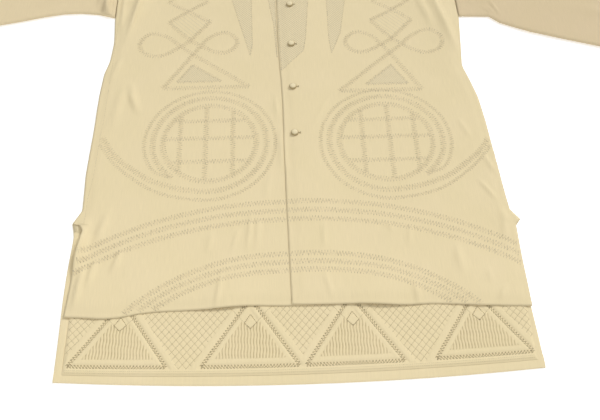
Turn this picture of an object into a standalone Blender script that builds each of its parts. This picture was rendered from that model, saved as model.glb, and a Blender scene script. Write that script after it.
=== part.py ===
"""Embroidered long shirt, laid flat with its front up.

A back with a long tail, two buttoned fronts, two sleeves, a quilted band on the inside of the
tail, a neckband and six buttons. X runs across the shirt, Y from the tail up to the neck, and
Z is up. Sizes along the shirt are given as "up", the distance above the middle of the back hem.
"""

import math
from collections import namedtuple

import bmesh
import bpy
from mathutils import Vector

TOTAL_LENGTH = 0.972
CLOTH = 0.0012
GAP = 0.0003

# Body
BACK_COLUMNS = 12
FRONT_COLUMNS = 14
ARMHOLE_X = 0.2915
HEM_HALF = 0.31
FRONT_HEM_UP = 0.10
SHOULDER_UP = 0.9150
NECK_HALF = 0.0853
NECK_UP = 0.9635
FRONT_NECK_DEPTH = 0.0755
FRONT_BOTTOM = CLOTH + GAP
OVERLAP_RAISE = 0.0017
OVERLAP_TO = 0.034
OVERLAP_FADE = 0.040
HEM_LIFT = 0.0022
HEM_LIFT_TO = 0.130
HEM_LIFT_FADE = 0.070

# Tail band
BAND_LEFT, BAND_RIGHT = -0.300, 0.303
BAND_LOW, BAND_HIGH = 0.0225, 0.1260
BAND_MARGIN = 0.0030
BAND_BOTTOM = CLOTH + GAP
BAND_CLOTH = 0.0010
BAND_TOP = BAND_BOTTOM + BAND_CLOTH
STRIP_RAISE = 0.0005
STRIP_BEVEL = 0.0012
RIB_PITCH = 0.0036
RIB_RAISE = 0.0006
RIB_BORDER = 0.0008
RIB_INSET = 0.00072
RIB_MATCH = 0.02
QUILT_PITCH = 0.0096
QUILT_RAISE = 0.0006
QUILT_LEAST = 0.4
SIDE_SLOPE = 1.40
TRIANGLE_APEX = 0.1165
ZIGZAG_WIDTH = 0.0058
FRAME_WIDTH = 0.0080
FRAME_FOOT = 0.0095
EDGE_STRIP_WIDTH = 0.0080
TRIANGLE_BASE = 0.0367
TRIANGLE_CENTRES = (-0.2320, -0.0625, 0.0712, 0.2370)
# The band bows down with the hem, by this much at its low edge and by nothing this far above it.
BAND_BOW = 0.0100
BAND_BOW_FADE = 0.100
BAND_BOW_STEPS = 7

# Neckband
NECKBAND_WIDTH = 0.014
NECKBAND_LAP = 0.002
NECKBAND_RISE = 0.010
NECKBAND_FRONT_Z = FRONT_BOTTOM + CLOTH + GAP
NECKBAND_BACK_FROM = 0.3
NECKBAND_BACK_FADE = 0.5
NECKBAND_TURNS = 48
NECKBAND_OPENING_X = -0.018

# Buttons
BUTTON_X = 0.0052
BUTTON_FIRST_UP = 0.3995
BUTTON_SPACING = 0.094
BUTTON_COUNT = 6
BUTTON_RADIUS = 0.0052
BUTTON_BOTTOM = FRONT_BOTTOM + OVERLAP_RAISE + CLOTH + GAP

# Sleeves
SLEEVE_START = ARMHOLE_X + GAP
SLEEVE_FLAT = 0.0029
SLEEVE_LOFT = 0.0012
SLEEVE_ACROSS = 7
SLEEVE_EDGE = 0.012
SLEEVE_RIM = 0.0024

# Finish
CREAM = (0.76, 0.66, 0.43, 1.0)
BAND_CREAM = (0.74, 0.65, 0.43, 1.0)
BUTTON_CREAM = (0.80, 0.74, 0.58, 1.0)
CLOTH_ROUGHNESS = 0.85
BUTTON_ROUGHNESS = 0.5
CREASE = math.radians(40)
BAND_CREASE = math.radians(8)

# Points closer than this are one point.
WELD = 1e-6

# A row is one section across a panel, from its left edge to its right one. Steps says how many
# sections lead from it to the next row.
Row = namedtuple("Row", "left left_up right right_up steps")

BACK_ROWS = (
    Row(-0.3103, 0.0130, 0.3107, 0.0114, 2),
    Row(-0.3108, 0.0680, 0.3097, 0.0660, 2),
    Row(-0.3120, 0.1260, 0.3080, 0.1200, 2),
    Row(-0.3117, 0.1700, 0.3088, 0.1680, 2),
    Row(-0.3090, 0.2300, 0.3108, 0.2220, 1),
    Row(-0.3145, 0.2470, 0.3195, 0.2340, 1),
    Row(-0.3022, 0.2700, 0.3078, 0.2515, 2),
    Row(-0.3047, 0.3330, 0.3043, 0.3180, 2),
    Row(-0.3017, 0.4120, 0.3003, 0.4140, 2),
    Row(-0.3007, 0.4890, 0.2963, 0.4645, 1),
    Row(-0.2972, 0.5360, 0.2873, 0.5060, 1),
    Row(-0.2905, 0.5600, 0.2805, 0.5310, 1),
    Row(-0.2877, 0.6030, 0.2868, 0.5960, 1),
    Row(-ARMHOLE_X, 0.6600, ARMHOLE_X, 0.6440, 3),
    Row(-ARMHOLE_X, 0.8000, ARMHOLE_X, 0.8000, 2),
    Row(-ARMHOLE_X, SHOULDER_UP, ARMHOLE_X, SHOULDER_UP, 1),
    Row(-0.1900, 0.9383, 0.1900, 0.9383, 1),
    Row(-NECK_HALF, NECK_UP, NECK_HALF, NECK_UP, 0),
)

FRONT_RIGHT_ROWS = (
    Row(-0.3077, 0.1050, 0.0300, 0.1120, 1),
    Row(-0.3062, 0.1250, 0.0300, 0.1280, 2),
    Row(-0.3027, 0.1900, 0.0300, 0.1800, 1),
    Row(-0.2967, 0.2330, 0.0300, 0.2200, 1),
    Row(-0.3037, 0.2455, 0.0300, 0.2330, 1),
    Row(-0.3140, 0.2475, 0.0300, 0.2400, 1),
    Row(-0.3022, 0.2700, 0.0300, 0.2620, 2),
    Row(-0.3047, 0.3330, 0.0300, 0.3250, 3),
    Row(-0.3017, 0.4120, 0.0300, 0.4100, 2),
    Row(-0.3007, 0.4890, 0.0300, 0.4800, 2),
    Row(-0.2972, 0.5360, 0.0300, 0.5250, 1),
    Row(-0.2905, 0.5600, 0.0300, 0.5500, 2),
    Row(-0.2877, 0.6030, 0.0300, 0.5950, 2),
    Row(-ARMHOLE_X, 0.6600, 0.0300, 0.6500, 4),
    Row(-ARMHOLE_X, 0.8000, 0.0300, 0.7900, 3),
    Row(-ARMHOLE_X, 0.8850, 0.0300, 0.8700, 1),
    Row(-ARMHOLE_X, 0.9000, 0.0000, 0.8880, 1),
    Row(-ARMHOLE_X, SHOULDER_UP, -0.0300, 0.8929, 1),
    Row(-0.2300, 0.9292, -0.0550, 0.9058, 1),
    Row(-0.1700, 0.9432, -0.0750, 0.9277, 1),
    Row(-0.1100, 0.9572, -0.0845, 0.9520, 1),
    Row(-0.1000, 0.9600, -NECK_HALF, NECK_UP, 0),
)

FRONT_LEFT_ROWS = (
    Row(-0.0077, 0.1125, 0.3100, 0.1004, 1),
    Row(-0.0080, 0.1300, 0.3101, 0.1220, 2),
    Row(-0.0090, 0.1850, 0.3105, 0.1650, 2),
    Row(-0.0097, 0.2300, 0.3123, 0.2265, 1),
    Row(-0.0100, 0.2380, 0.3203, 0.2340, 1),
    Row(-0.0105, 0.2550, 0.3078, 0.2515, 2),
    Row(-0.0110, 0.3200, 0.3043, 0.3180, 3),
    Row(-0.0114, 0.4150, 0.3003, 0.4140, 2),
    Row(-0.0120, 0.4680, 0.2963, 0.4645, 2),
    Row(-0.0135, 0.5150, 0.2873, 0.5060, 1),
    Row(-0.0150, 0.5400, 0.2805, 0.5310, 3),
    Row(-0.0166, 0.6000, 0.2868, 0.5960, 2),
    Row(-0.0172, 0.6500, ARMHOLE_X, 0.6440, 4),
    Row(-0.0180, 0.7900, ARMHOLE_X, 0.8000, 3),
    Row(-0.0180, 0.8780, ARMHOLE_X, 0.8850, 1),
    Row(0.0080, 0.8884, ARMHOLE_X, 0.9000, 1),
    Row(0.0350, 0.8947, ARMHOLE_X, SHOULDER_UP, 1),
    Row(0.0570, 0.9073, 0.2300, 0.9292, 1),
    Row(0.0760, 0.9292, 0.1700, 0.9432, 1),
    Row(0.0845, 0.9520, 0.1100, 0.9572, 1),
    Row(NECK_HALF, NECK_UP, 0.1000, 0.9600, 0),
)

# The back hem bows down by this much at the middle, and its neckline dips by this much.
BACK_HEM_BOW = 0.0122
BACK_HEM_CORNER = 0.0130
BACK_HEM_FADE = 0.090
BACK_NECK_DIP = 0.0060

# How far the front hem departs from a straight line, at these places across.
HemPoint = namedtuple("HemPoint", "x offset")
FRONT_HEM = (
    HemPoint(-0.31, 0.0000),
    HemPoint(-0.25, -0.0065),
    HemPoint(-0.19, 0.0010),
    HemPoint(-0.12, 0.0005),
    HemPoint(-0.07, 0.0030),
    HemPoint(0.00, 0.0000),
    HemPoint(0.08, 0.0015),
    HemPoint(0.14, 0.0000),
    HemPoint(0.18, 0.0030),
    HemPoint(0.25, 0.0000),
    HemPoint(0.31, 0.0000),
)

# Largest folds: a soft ridge from one point to another.
Fold = namedtuple("Fold", "x up to_x to_up width height")
BODY_FOLDS = (
    Fold(-0.222, 0.790, -0.270, 0.590, 0.060, 0.0030),
    Fold(-0.275, 0.640, -0.268, 0.560, 0.036, 0.0016),
    Fold(0.222, 0.780, 0.276, 0.545, 0.070, 0.0036),
    Fold(0.262, 0.640, 0.270, 0.470, 0.040, 0.0016),
    Fold(-0.180, 0.880, -0.215, 0.700, 0.060, 0.0018),
    Fold(0.165, 0.890, 0.195, 0.690, 0.060, 0.0018),
    Fold(-0.240, 0.235, -0.205, 0.110, 0.050, 0.0018),
    Fold(0.235, 0.240, 0.215, 0.105, 0.050, 0.0018),
)

# Waves that lift the front hem off the band.
Wave = namedtuple("Wave", "x width height")
HEM_WAVES = (
    Wave(-0.262, 0.090, 0.0012),
    Wave(-0.095, 0.120, 0.0034),
    Wave(0.105, 0.130, 0.0040),
    Wave(0.238, 0.090, 0.0020),
)
WAVE_FADE = 0.085
FRONT_HEM_FADE = 0.10
FRONT_HEM_DROP = 0.0035

# A station is one section across a sleeve, from its lower edge to its upper one.
Station = namedtuple("Station", "lower lower_up upper upper_up")
SLEEVE_LEFT_STATIONS = (
    Station(SLEEVE_START, 0.6450, SLEEVE_START, 0.9145),
    Station(0.3180, 0.6440, 0.3220, 0.9065),
    Station(0.3425, 0.6425, 0.3560, 0.8950),
    Station(0.3583, 0.6270, 0.3860, 0.8830),
    Station(0.3818, 0.6150, 0.4180, 0.8690),
    Station(0.4053, 0.6040, 0.4500, 0.8540),
    Station(0.4503, 0.5880, 0.5000, 0.8290),
    Station(0.5153, 0.5660, 0.5620, 0.7960),
    Station(0.5800, 0.5440, 0.6240, 0.7610),
    Station(0.6500, 0.5200, 0.6900, 0.7230),
    Station(0.7000, 0.5035, 0.7380, 0.6955),
    Station(0.7250, 0.4960, 0.7650, 0.6800),
)
SLEEVE_RIGHT_STATIONS = (
    Station(SLEEVE_START, 0.6610, SLEEVE_START, 0.9145),
    Station(0.3200, 0.6700, 0.3250, 0.9070),
    Station(0.3500, 0.6740, 0.3600, 0.8990),
    Station(0.3800, 0.6730, 0.3950, 0.8890),
    Station(0.4117, 0.6670, 0.4300, 0.8780),
    Station(0.4437, 0.6590, 0.4650, 0.8660),
    Station(0.4847, 0.6500, 0.5050, 0.8510),
    Station(0.5500, 0.6320, 0.5700, 0.8260),
    Station(0.6200, 0.6120, 0.6350, 0.7990),
    Station(0.6800, 0.5960, 0.7000, 0.7740),
    Station(0.7150, 0.5870, 0.7400, 0.7580),
    Station(0.7370, 0.5810, 0.7650, 0.7480),
)

# Folds of the upper sleeve layer, placed by how far along and across the sleeve they run.
SleeveFold = namedtuple("SleeveFold", "along across to_along to_across width height")
SLEEVE_FOLDS = (
    SleeveFold(0.00, 0.35, 0.30, 0.12, 0.16, 0.0016),
    SleeveFold(0.10, 0.80, 0.55, 0.62, 0.16, 0.0020),
    SleeveFold(0.45, 0.30, 0.95, 0.45, 0.18, 0.0016),
)

# Half section of a button, from its rim to the middle of its dome.
ButtonPoint = namedtuple("ButtonPoint", "radius height")
BUTTON_SECTION = (
    ButtonPoint(0.0, 0.0),
    ButtonPoint(0.0044, 0.0),
    ButtonPoint(BUTTON_RADIUS, 0.0010),
    ButtonPoint(0.0047, 0.0021),
    ButtonPoint(0.0028, 0.0030),
    ButtonPoint(0.0, 0.0034),
)
BUTTON_SIDES = 16


def clear_scene():
    for thing in list(bpy.data.objects):
        bpy.data.objects.remove(thing, do_unlink=True)


def plain_material(name, colour, roughness):
    material = bpy.data.materials.new(name)
    material.use_nodes = True
    shader = material.node_tree.nodes["Principled BSDF"]
    shader.inputs["Base Color"].default_value = colour
    shader.inputs["Roughness"].default_value = roughness
    shader.inputs["Metallic"].default_value = 0.0
    return material


def add_object(name, bm, collection, material, crease=CREASE):
    """Make an object of the faces, shaded smooth but at edges past the crease angle."""
    mesh = bpy.data.meshes.new(name)
    bm.to_mesh(mesh)
    bm.free()
    mesh.shade_smooth()
    mesh.set_sharp_from_angle(angle=crease)
    made = bpy.data.objects.new(name, mesh)
    made.data.materials.append(material)
    collection.objects.link(made)
    return made


def along_y(up):
    return up - TOTAL_LENGTH / 2


def smooth(t):
    t = min(max(t, 0.0), 1.0)
    return t * t * (3 - 2 * t)


def mix(a, b, t):
    return a + (b - a) * t


def hill(distance, width):
    """1 on a ridge line, easing to 0 at half the width either side."""
    t = min(abs(distance) / (width / 2), 1.0)
    return 0.5 + 0.5 * math.cos(math.pi * t)


def fold_height(x, up, folds):
    """Height of all folds at a point: each eases off to its sides and its two ends."""
    total = 0.0
    for x1, up1, x2, up2, width, height in folds:
        run, rise = x2 - x1, up2 - up1
        length = math.hypot(run, rise)
        along = ((x - x1) * run + (up - up1) * rise) / length**2
        across = ((x - x1) * rise - (up - up1) * run) / length
        if 0 < along < 1:
            total += height * hill(across, width) * math.sin(math.pi * along)
    return total


def hem_offset(x):
    """Wander of the front hem, eased between the listed places."""
    for near, far in zip(FRONT_HEM, FRONT_HEM[1:]):
        if near.x <= x <= far.x:
            return mix(near.offset, far.offset, smooth((x - near.x) / (far.x - near.x)))
    return 0.0


def wave_height(x, up):
    near_hem = 1 - smooth((up - FRONT_HEM_UP) / WAVE_FADE)
    return near_hem * sum(wave.height * hill(x - wave.x, wave.width) for wave in HEM_WAVES)


def front_height(x, up):
    """Top of the front cloth where it lies in a single layer on the back."""
    over_band = HEM_LIFT * (1 - smooth((up - HEM_LIFT_TO) / HEM_LIFT_FADE))
    return FRONT_BOTTOM + CLOTH + over_band + wave_height(x, up) + fold_height(x, up, BODY_FOLDS)


def front_left_height(x, up):
    """The left front also lies over the edge of the right one."""
    return front_height(x, up) + OVERLAP_RAISE * (1 - smooth((x - OVERLAP_TO) / OVERLAP_FADE))


def back_height(x, up):
    return CLOTH


def sections(rows):
    """All the sections that the rows stand for, evenly spaced between them."""
    found = []
    for row, following in zip(rows, rows[1:]):
        for step in range(row.steps):
            t = step / row.steps
            found.append([mix(a, b, t) for a, b in zip(row[:4], following[:4])])
    found.append(list(rows[-1][:4]))
    return found


def front_shift(x, up):
    return (hem_offset(x) - FRONT_HEM_DROP) * (1 - smooth((up - FRONT_HEM_UP) / FRONT_HEM_FADE))


def back_shift(x, up):
    """The hem bows down at the middle, and the neckline dips a little."""
    near_hem = 1 - smooth((up - BACK_HEM_CORNER) / BACK_HEM_FADE)
    bow = BACK_HEM_BOW * (1 - (x / HEM_HALF) ** 2) * near_hem
    near_neck = smooth((up - SHOULDER_UP) / (NECK_UP - SHOULDER_UP))
    dip = BACK_NECK_DIP * (1 - min(abs(x) / NECK_HALF, 1) ** 2) * near_neck
    return -bow - dip


def build_panel(name, rows, columns, height, shift, collection, material):
    """A cloth panel: an open sheet through its sections, then a wall of the cloth's thickness."""
    lines = sections(rows)
    bm = bmesh.new()
    bmesh.ops.create_grid(bm, x_segments=columns, y_segments=len(lines) - 1, size=0.5)
    for vertex in bm.verts:
        across = vertex.co.x + 0.5
        left, left_up, right, right_up = lines[round((vertex.co.y + 0.5) * (len(lines) - 1))]
        x = mix(left, right, across)
        up = mix(left_up, right_up, across)
        up += shift(x, up)
        vertex.co = (x, along_y(up), height(x, up))
    made = add_object(name, bm, collection, material)
    wall = made.modifiers.new("Cloth thickness", "SOLIDIFY")
    wall.thickness = CLOTH
    wall.offset = -1
    return made


def cut_faces(bm, wanted, point, normal):
    """Cut the faces whose centre is wanted along a line through the point."""
    faces = [face for face in bm.faces if wanted(face.calc_center_median())]
    edges = {edge for face in faces for edge in face.edges}
    verts = {vert for face in faces for vert in face.verts}
    bmesh.ops.bisect_plane(
        bm,
        geom=[*verts, *edges, *faces],
        dist=WELD,
        plane_co=(point[0], along_y(point[1]), BAND_TOP),
        plane_no=(normal[0], normal[1], 0),
    )


def depth_in_tent(x, up, centre):
    """How far a point lies inside the two sloping sides that meet at a triangle's apex."""
    drop = (TRIANGLE_APEX - up) - SIDE_SLOPE * abs(x - centre)
    return drop / math.hypot(1, SIDE_SLOPE)


def nearest_centre(x):
    return min(TRIANGLE_CENTRES, key=lambda centre: abs(x - centre))


def band_zone(co):
    """Which part of the band's pattern a point is in."""
    x, up = co.x, co.y + TOTAL_LENGTH / 2
    if not TRIANGLE_BASE - ZIGZAG_WIDTH < up < BAND_HIGH - BAND_MARGIN:
        return "margin"
    depth = max(depth_in_tent(x, up, centre) for centre in TRIANGLE_CENTRES)
    if depth < -ZIGZAG_WIDTH - EDGE_STRIP_WIDTH:
        return "quilting"
    if depth < -ZIGZAG_WIDTH:
        return "strip"
    if depth < 0 or up < TRIANGLE_BASE:
        return "zigzag"
    if depth < FRAME_WIDTH or up < TRIANGLE_BASE + FRAME_FOOT:
        return "frame"
    return "ribs"


def anywhere(co):
    return True


def in_quilting(co):
    return band_zone(co) == "quilting"


def inside_quilting(edge):
    faces = edge.link_faces
    return len(faces) == 2 and all(in_quilting(face.calc_center_median()) for face in faces)


def in_pattern(co):
    return band_zone(co) != "margin"


def in_margin(co):
    return band_zone(co) == "margin"


def in_triangle(co):
    return depth_in_tent(co.x, co.y + TOTAL_LENGTH / 2, nearest_centre(co.x)) > 0


def cut_band_outlines(bm):
    """Cut the flat band along every border between two parts of its pattern."""
    cut_faces(bm, anywhere, (0, TRIANGLE_BASE - ZIGZAG_WIDTH), (0, 1))
    cut_faces(bm, anywhere, (0, BAND_HIGH - BAND_MARGIN), (0, 1))
    for left, right in zip(TRIANGLE_CENTRES, TRIANGLE_CENTRES[1:]):
        cut_faces(bm, in_pattern, ((left + right) / 2, 0), (1, 0))
    for centre in TRIANGLE_CENTRES:
        cut_faces(bm, in_pattern, (centre, 0), (1, 0))
        for side in (-1, 1):
            def on_this_side(co):
                own = nearest_centre(co.x) == centre and (co.x - centre) * side > 0
                return own and in_pattern(co)

            for depth in (-ZIGZAG_WIDTH - EDGE_STRIP_WIDTH, -ZIGZAG_WIDTH, 0, FRAME_WIDTH):
                apex = TRIANGLE_APEX - depth * math.hypot(1, SIDE_SLOPE)
                cut_faces(bm, on_this_side, (centre, apex), (side * SIDE_SLOPE, 1))
    cut_faces(bm, in_triangle, (0, TRIANGLE_BASE), (0, 1))
    cut_faces(bm, in_triangle, (0, TRIANGLE_BASE + FRAME_FOOT), (0, 1))
    for step in range(1, BAND_BOW_STEPS):
        cut_faces(bm, in_margin, (mix(BAND_LEFT, BAND_RIGHT, step / BAND_BOW_STEPS), 0), (1, 0))
    bmesh.ops.dissolve_edges(bm, edges=[edge for edge in bm.edges if inside_quilting(edge)])


def faces_in(bm, *zones):
    return [face for face in bm.faces if band_zone(face.calc_center_median()) in zones]


def raise_strips(bm):
    for zone in ("strip", "frame"):
        bmesh.ops.inset_region(
            bm,
            faces=faces_in(bm, zone),
            thickness=STRIP_BEVEL,
            depth=STRIP_RAISE,
            use_boundary=True,
            use_even_offset=False,
        )


def raise_ribs(bm):
    """Upright ribs inside each triangle, as ridges between a low border."""
    bmesh.ops.inset_region(
        bm, faces=faces_in(bm, "ribs"), thickness=RIB_BORDER, depth=0, use_boundary=True
    )
    side_depth = FRAME_WIDTH + RIB_INSET
    foot = TRIANGLE_BASE + FRAME_FOOT + RIB_INSET
    count = int(2 * (TRIANGLE_APEX - TRIANGLE_BASE) / SIDE_SLOPE / RIB_PITCH)
    for centre in TRIANGLE_CENTRES:
        def among_ribs(co):
            up = co.y + TOTAL_LENGTH / 2
            return depth_in_tent(co.x, up, centre) > side_depth and up > foot

        for step in range(-count, count + 1):
            if step:
                cut_faces(bm, among_ribs, (centre + step * RIB_PITCH / 2, 0), (1, 0))
        ribbed = [face for face in bm.faces if among_ribs(face.calc_center_median())]
        for vertex in {vert for face in ribbed for vert in face.verts}:
            steps = (vertex.co.x - centre) / (RIB_PITCH / 2)
            if round(steps) % 2 and abs(steps - round(steps)) < RIB_MATCH:
                vertex.co.z = BAND_TOP + RIB_RAISE


def raise_quilting(bm):
    """Quilted diamonds between the triangles, each raised to a low point."""
    reach = (BAND_RIGHT - BAND_LEFT) + (BAND_HIGH - BAND_LOW)
    count = int(reach / QUILT_PITCH)
    for side in (-1, 1):
        for step in range(-count, count + 1):
            start = (TRIANGLE_CENTRES[1] + step * QUILT_PITCH, BAND_LOW)
            cut_faces(bm, in_quilting, start, (side * SIDE_SLOPE, 1))
    least = QUILT_LEAST * QUILT_PITCH**2 * SIDE_SLOPE / 2
    puffs = [face for face in faces_in(bm, "quilting") if face.calc_area() > least]
    bmesh.ops.poke(bm, faces=puffs, offset=QUILT_RAISE)


def band_bow(x, up):
    """How far the band bows down at a point, less and less towards its top edge."""
    fade = 1 - min(max((up - BAND_LOW) / BAND_BOW_FADE, 0.0), 1.0)
    return BAND_BOW * (1 - (x / HEM_HALF) ** 2) * fade


def build_tail_band(collection, material):
    """The band inside the tail: its pattern is raised on top, and its underside is plain."""
    bm = bmesh.new()
    bmesh.ops.create_grid(bm, x_segments=1, y_segments=1, size=0.5)
    for vertex in bm.verts:
        x = mix(BAND_LEFT, BAND_RIGHT, vertex.co.x + 0.5)
        up = mix(BAND_LOW, BAND_HIGH, vertex.co.y + 0.5)
        vertex.co = (x, along_y(up), BAND_TOP)
    cut_band_outlines(bm)
    raise_quilting(bm)
    raise_ribs(bm)
    raise_strips(bm)
    for vertex in bm.verts:
        vertex.co.y -= band_bow(vertex.co.x, vertex.co.y + TOTAL_LENGTH / 2)
    rim = [edge for edge in bm.edges if edge.is_boundary]
    lowered = bmesh.ops.extrude_edge_only(bm, edges=rim)["geom"]
    for vertex in lowered:
        if isinstance(vertex, bmesh.types.BMVert):
            vertex.co.z = BAND_BOTTOM
    open_edges = [edge for edge in bm.edges if edge.is_boundary]
    bmesh.ops.holes_fill(bm, edges=open_edges, sides=0)
    bmesh.ops.recalc_face_normals(bm, faces=bm.faces)
    return add_object("tail_band", bm, collection, material, crease=BAND_CREASE)


def loft(bm, rings, closed):
    """Skin a list of closed rings, and join the last one to the first where closed is set."""
    made = [[bm.verts.new(point) for point in ring] for ring in rings]
    following = made[1:] + made[:1] if closed else made[1:]
    for near, far in zip(made, following):
        for i in range(len(near)):
            j = (i + 1) % len(near)
            bm.faces.new((near[i], near[j], far[j], far[i]))
    if not closed:
        bm.faces.new(made[0][::-1])
        bm.faces.new(made[-1])
    bmesh.ops.recalc_face_normals(bm, faces=bm.faces)


def sleeve_ring(station, along, side, inset):
    """One turn round a flat sleeve: along its underside, then back over its upper layer."""
    thick = SLEEVE_FLAT + SLEEVE_LOFT * math.sin(math.pi * along)
    edge = SLEEVE_EDGE if inset else SLEEVE_RIM

    def point(across, z):
        x = side * mix(station.lower, station.upper, across)
        return Vector((x, along_y(mix(station.lower_up, station.upper_up, across)), z))

    first = SLEEVE_EDGE + 2 * edge
    places = [mix(first, 1 - first, i / SLEEVE_ACROSS) for i in range(SLEEVE_ACROSS + 1)]
    ring = [point(edge, thick / 2)]
    ring += [point(across, inset) for across in places]
    ring.append(point(1 - edge, thick / 2))
    for across in reversed(places):
        ring.append(point(across, thick - inset + fold_height(along, across, SLEEVE_FOLDS)))
    return ring


def build_sleeve(name, stations, side, collection, material):
    """A flattened tube with an open cuff, its wall lofted out along the outside and back inside."""
    count = len(stations) - 1
    outer = [sleeve_ring(s, i / count, side, 0.0) for i, s in enumerate(stations)]
    inner = [sleeve_ring(s, i / count, side, CLOTH) for i, s in enumerate(stations)]
    bm = bmesh.new()
    loft(bm, outer + inner[::-1], closed=True)
    return add_object(name, bm, collection, material)


def neck_ring_point(angle, inset):
    """A point of the neckband's outline: deep at the front, nearly straight at the back."""
    half = NECK_HALF + NECKBAND_LAP - inset
    if math.sin(angle) < 0:
        depth = FRONT_NECK_DEPTH + NECKBAND_LAP - inset
    else:
        depth = NECKBAND_RISE - inset
    return half * math.cos(angle), TOTAL_LENGTH - NECKBAND_RISE + depth * math.sin(angle)


def neckband_low(angle):
    """Underside of the neckband: over the fronts, then easing down on the back."""
    on_back = smooth((math.sin(angle) - NECKBAND_BACK_FROM) / NECKBAND_BACK_FADE)
    across = math.cos(angle) * NECK_HALF
    front = NECKBAND_FRONT_Z
    if math.sin(angle) < 0 and across > NECKBAND_OPENING_X:
        front += OVERLAP_RAISE * (1 - smooth((across - OVERLAP_TO) / OVERLAP_FADE))
    return mix(front, FRONT_BOTTOM, on_back)


def build_neckband(collection, material):
    """A flat strip round the neck, its two ends meeting at the edge of the left front."""
    opening = -math.acos(NECKBAND_OPENING_X / (NECK_HALF + NECKBAND_LAP))
    end_gap = 2 * GAP / FRONT_NECK_DEPTH
    rings = []
    for i in range(NECKBAND_TURNS + 1):
        angle = mix(opening + end_gap, opening + 2 * math.pi - end_gap, i / NECKBAND_TURNS)
        low = neckband_low(angle)
        out_x, out_up = neck_ring_point(angle, 0.0)
        in_x, in_up = neck_ring_point(angle, NECKBAND_WIDTH)
        rings.append([
            (out_x, along_y(out_up), low),
            (in_x, along_y(in_up), low),
            (in_x, along_y(in_up), low + CLOTH),
            (out_x, along_y(out_up), low + CLOTH),
        ])
    bm = bmesh.new()
    loft(bm, rings, closed=False)
    return add_object("neckband", bm, collection, material)


def build_button(number, collection, material):
    """A low domed button, turned from its half section."""
    bm = bmesh.new()
    points = [bm.verts.new((p.radius, 0, p.height)) for p in reversed(BUTTON_SECTION)]
    edges = [bm.edges.new(pair) for pair in zip(points, points[1:])]
    bmesh.ops.spin(
        bm, geom=[*points, *edges], cent=(0, 0, 0), axis=(0, 0, 1),
        angle=2 * math.pi, steps=BUTTON_SIDES, use_merge=True,
    )
    bmesh.ops.remove_doubles(bm, verts=bm.verts, dist=WELD)
    bmesh.ops.recalc_face_normals(bm, faces=bm.faces)
    made = add_object(f"button_{number}", bm, collection, material)
    up = BUTTON_FIRST_UP + (number - 1) * BUTTON_SPACING
    made.location = (BUTTON_X, along_y(up), BUTTON_BOTTOM)
    return made


def build_shirt():
    clear_scene()
    shirt = bpy.data.collections.new("Embroidered long shirt")
    bpy.context.scene.collection.children.link(shirt)
    cloth = plain_material("Shirt cloth", CREAM, CLOTH_ROUGHNESS)
    band_cloth = plain_material("Band cloth", BAND_CREAM, CLOTH_ROUGHNESS)
    button = plain_material("Button", BUTTON_CREAM, BUTTON_ROUGHNESS)
    build_panel("back", BACK_ROWS, BACK_COLUMNS, back_height, back_shift, shirt, cloth)
    for name, rows, height in (
        ("front_right", FRONT_RIGHT_ROWS, front_height),
        ("front_left", FRONT_LEFT_ROWS, front_left_height),
    ):
        build_panel(name, rows, FRONT_COLUMNS, height, front_shift, shirt, cloth)
    build_sleeve("sleeve_right", SLEEVE_RIGHT_STATIONS, -1, shirt, cloth)
    build_sleeve("sleeve_left", SLEEVE_LEFT_STATIONS, 1, shirt, cloth)
    build_tail_band(shirt, band_cloth)
    build_neckband(shirt, cloth)
    for number in range(1, BUTTON_COUNT + 1):
        build_button(number, shirt, button)


build_shirt()
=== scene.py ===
"""Embroidered long shirt, laid flat: fine cloth, zigzag embroidery, quilting, buttons and stage."""

import math
from collections import namedtuple

import bmesh
import bpy
import numpy as np
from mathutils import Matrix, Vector, noise
from mathutils.bvhtree import BVHTree


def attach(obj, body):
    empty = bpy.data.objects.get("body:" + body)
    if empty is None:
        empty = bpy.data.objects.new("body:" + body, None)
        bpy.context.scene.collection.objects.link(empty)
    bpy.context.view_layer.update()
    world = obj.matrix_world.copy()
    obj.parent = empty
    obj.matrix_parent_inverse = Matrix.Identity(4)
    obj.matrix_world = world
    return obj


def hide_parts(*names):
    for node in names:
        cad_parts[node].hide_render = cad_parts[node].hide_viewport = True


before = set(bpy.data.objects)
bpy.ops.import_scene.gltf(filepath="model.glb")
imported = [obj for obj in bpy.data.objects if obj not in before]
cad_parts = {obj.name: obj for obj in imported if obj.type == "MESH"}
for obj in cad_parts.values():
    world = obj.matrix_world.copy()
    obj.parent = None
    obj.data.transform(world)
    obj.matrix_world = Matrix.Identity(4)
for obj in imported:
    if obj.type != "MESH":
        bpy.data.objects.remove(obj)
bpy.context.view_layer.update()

bl_info = {
    "name": "Embroidered long shirt",
    "version": (1, 0, 0),
    "blender": (4, 5, 0),
    "location": "3D View > Sidebar > Shirt",
    "description": "Builds the cloth, embroidery and buttons of a long shirt laid flat",
    "category": "Object",
}

# Lengths along the shirt are given as "up", the distance above the middle of the back hem. The
# frame's origin lies half the shirt's length above it.
HALF_LENGTH = 0.486

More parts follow.
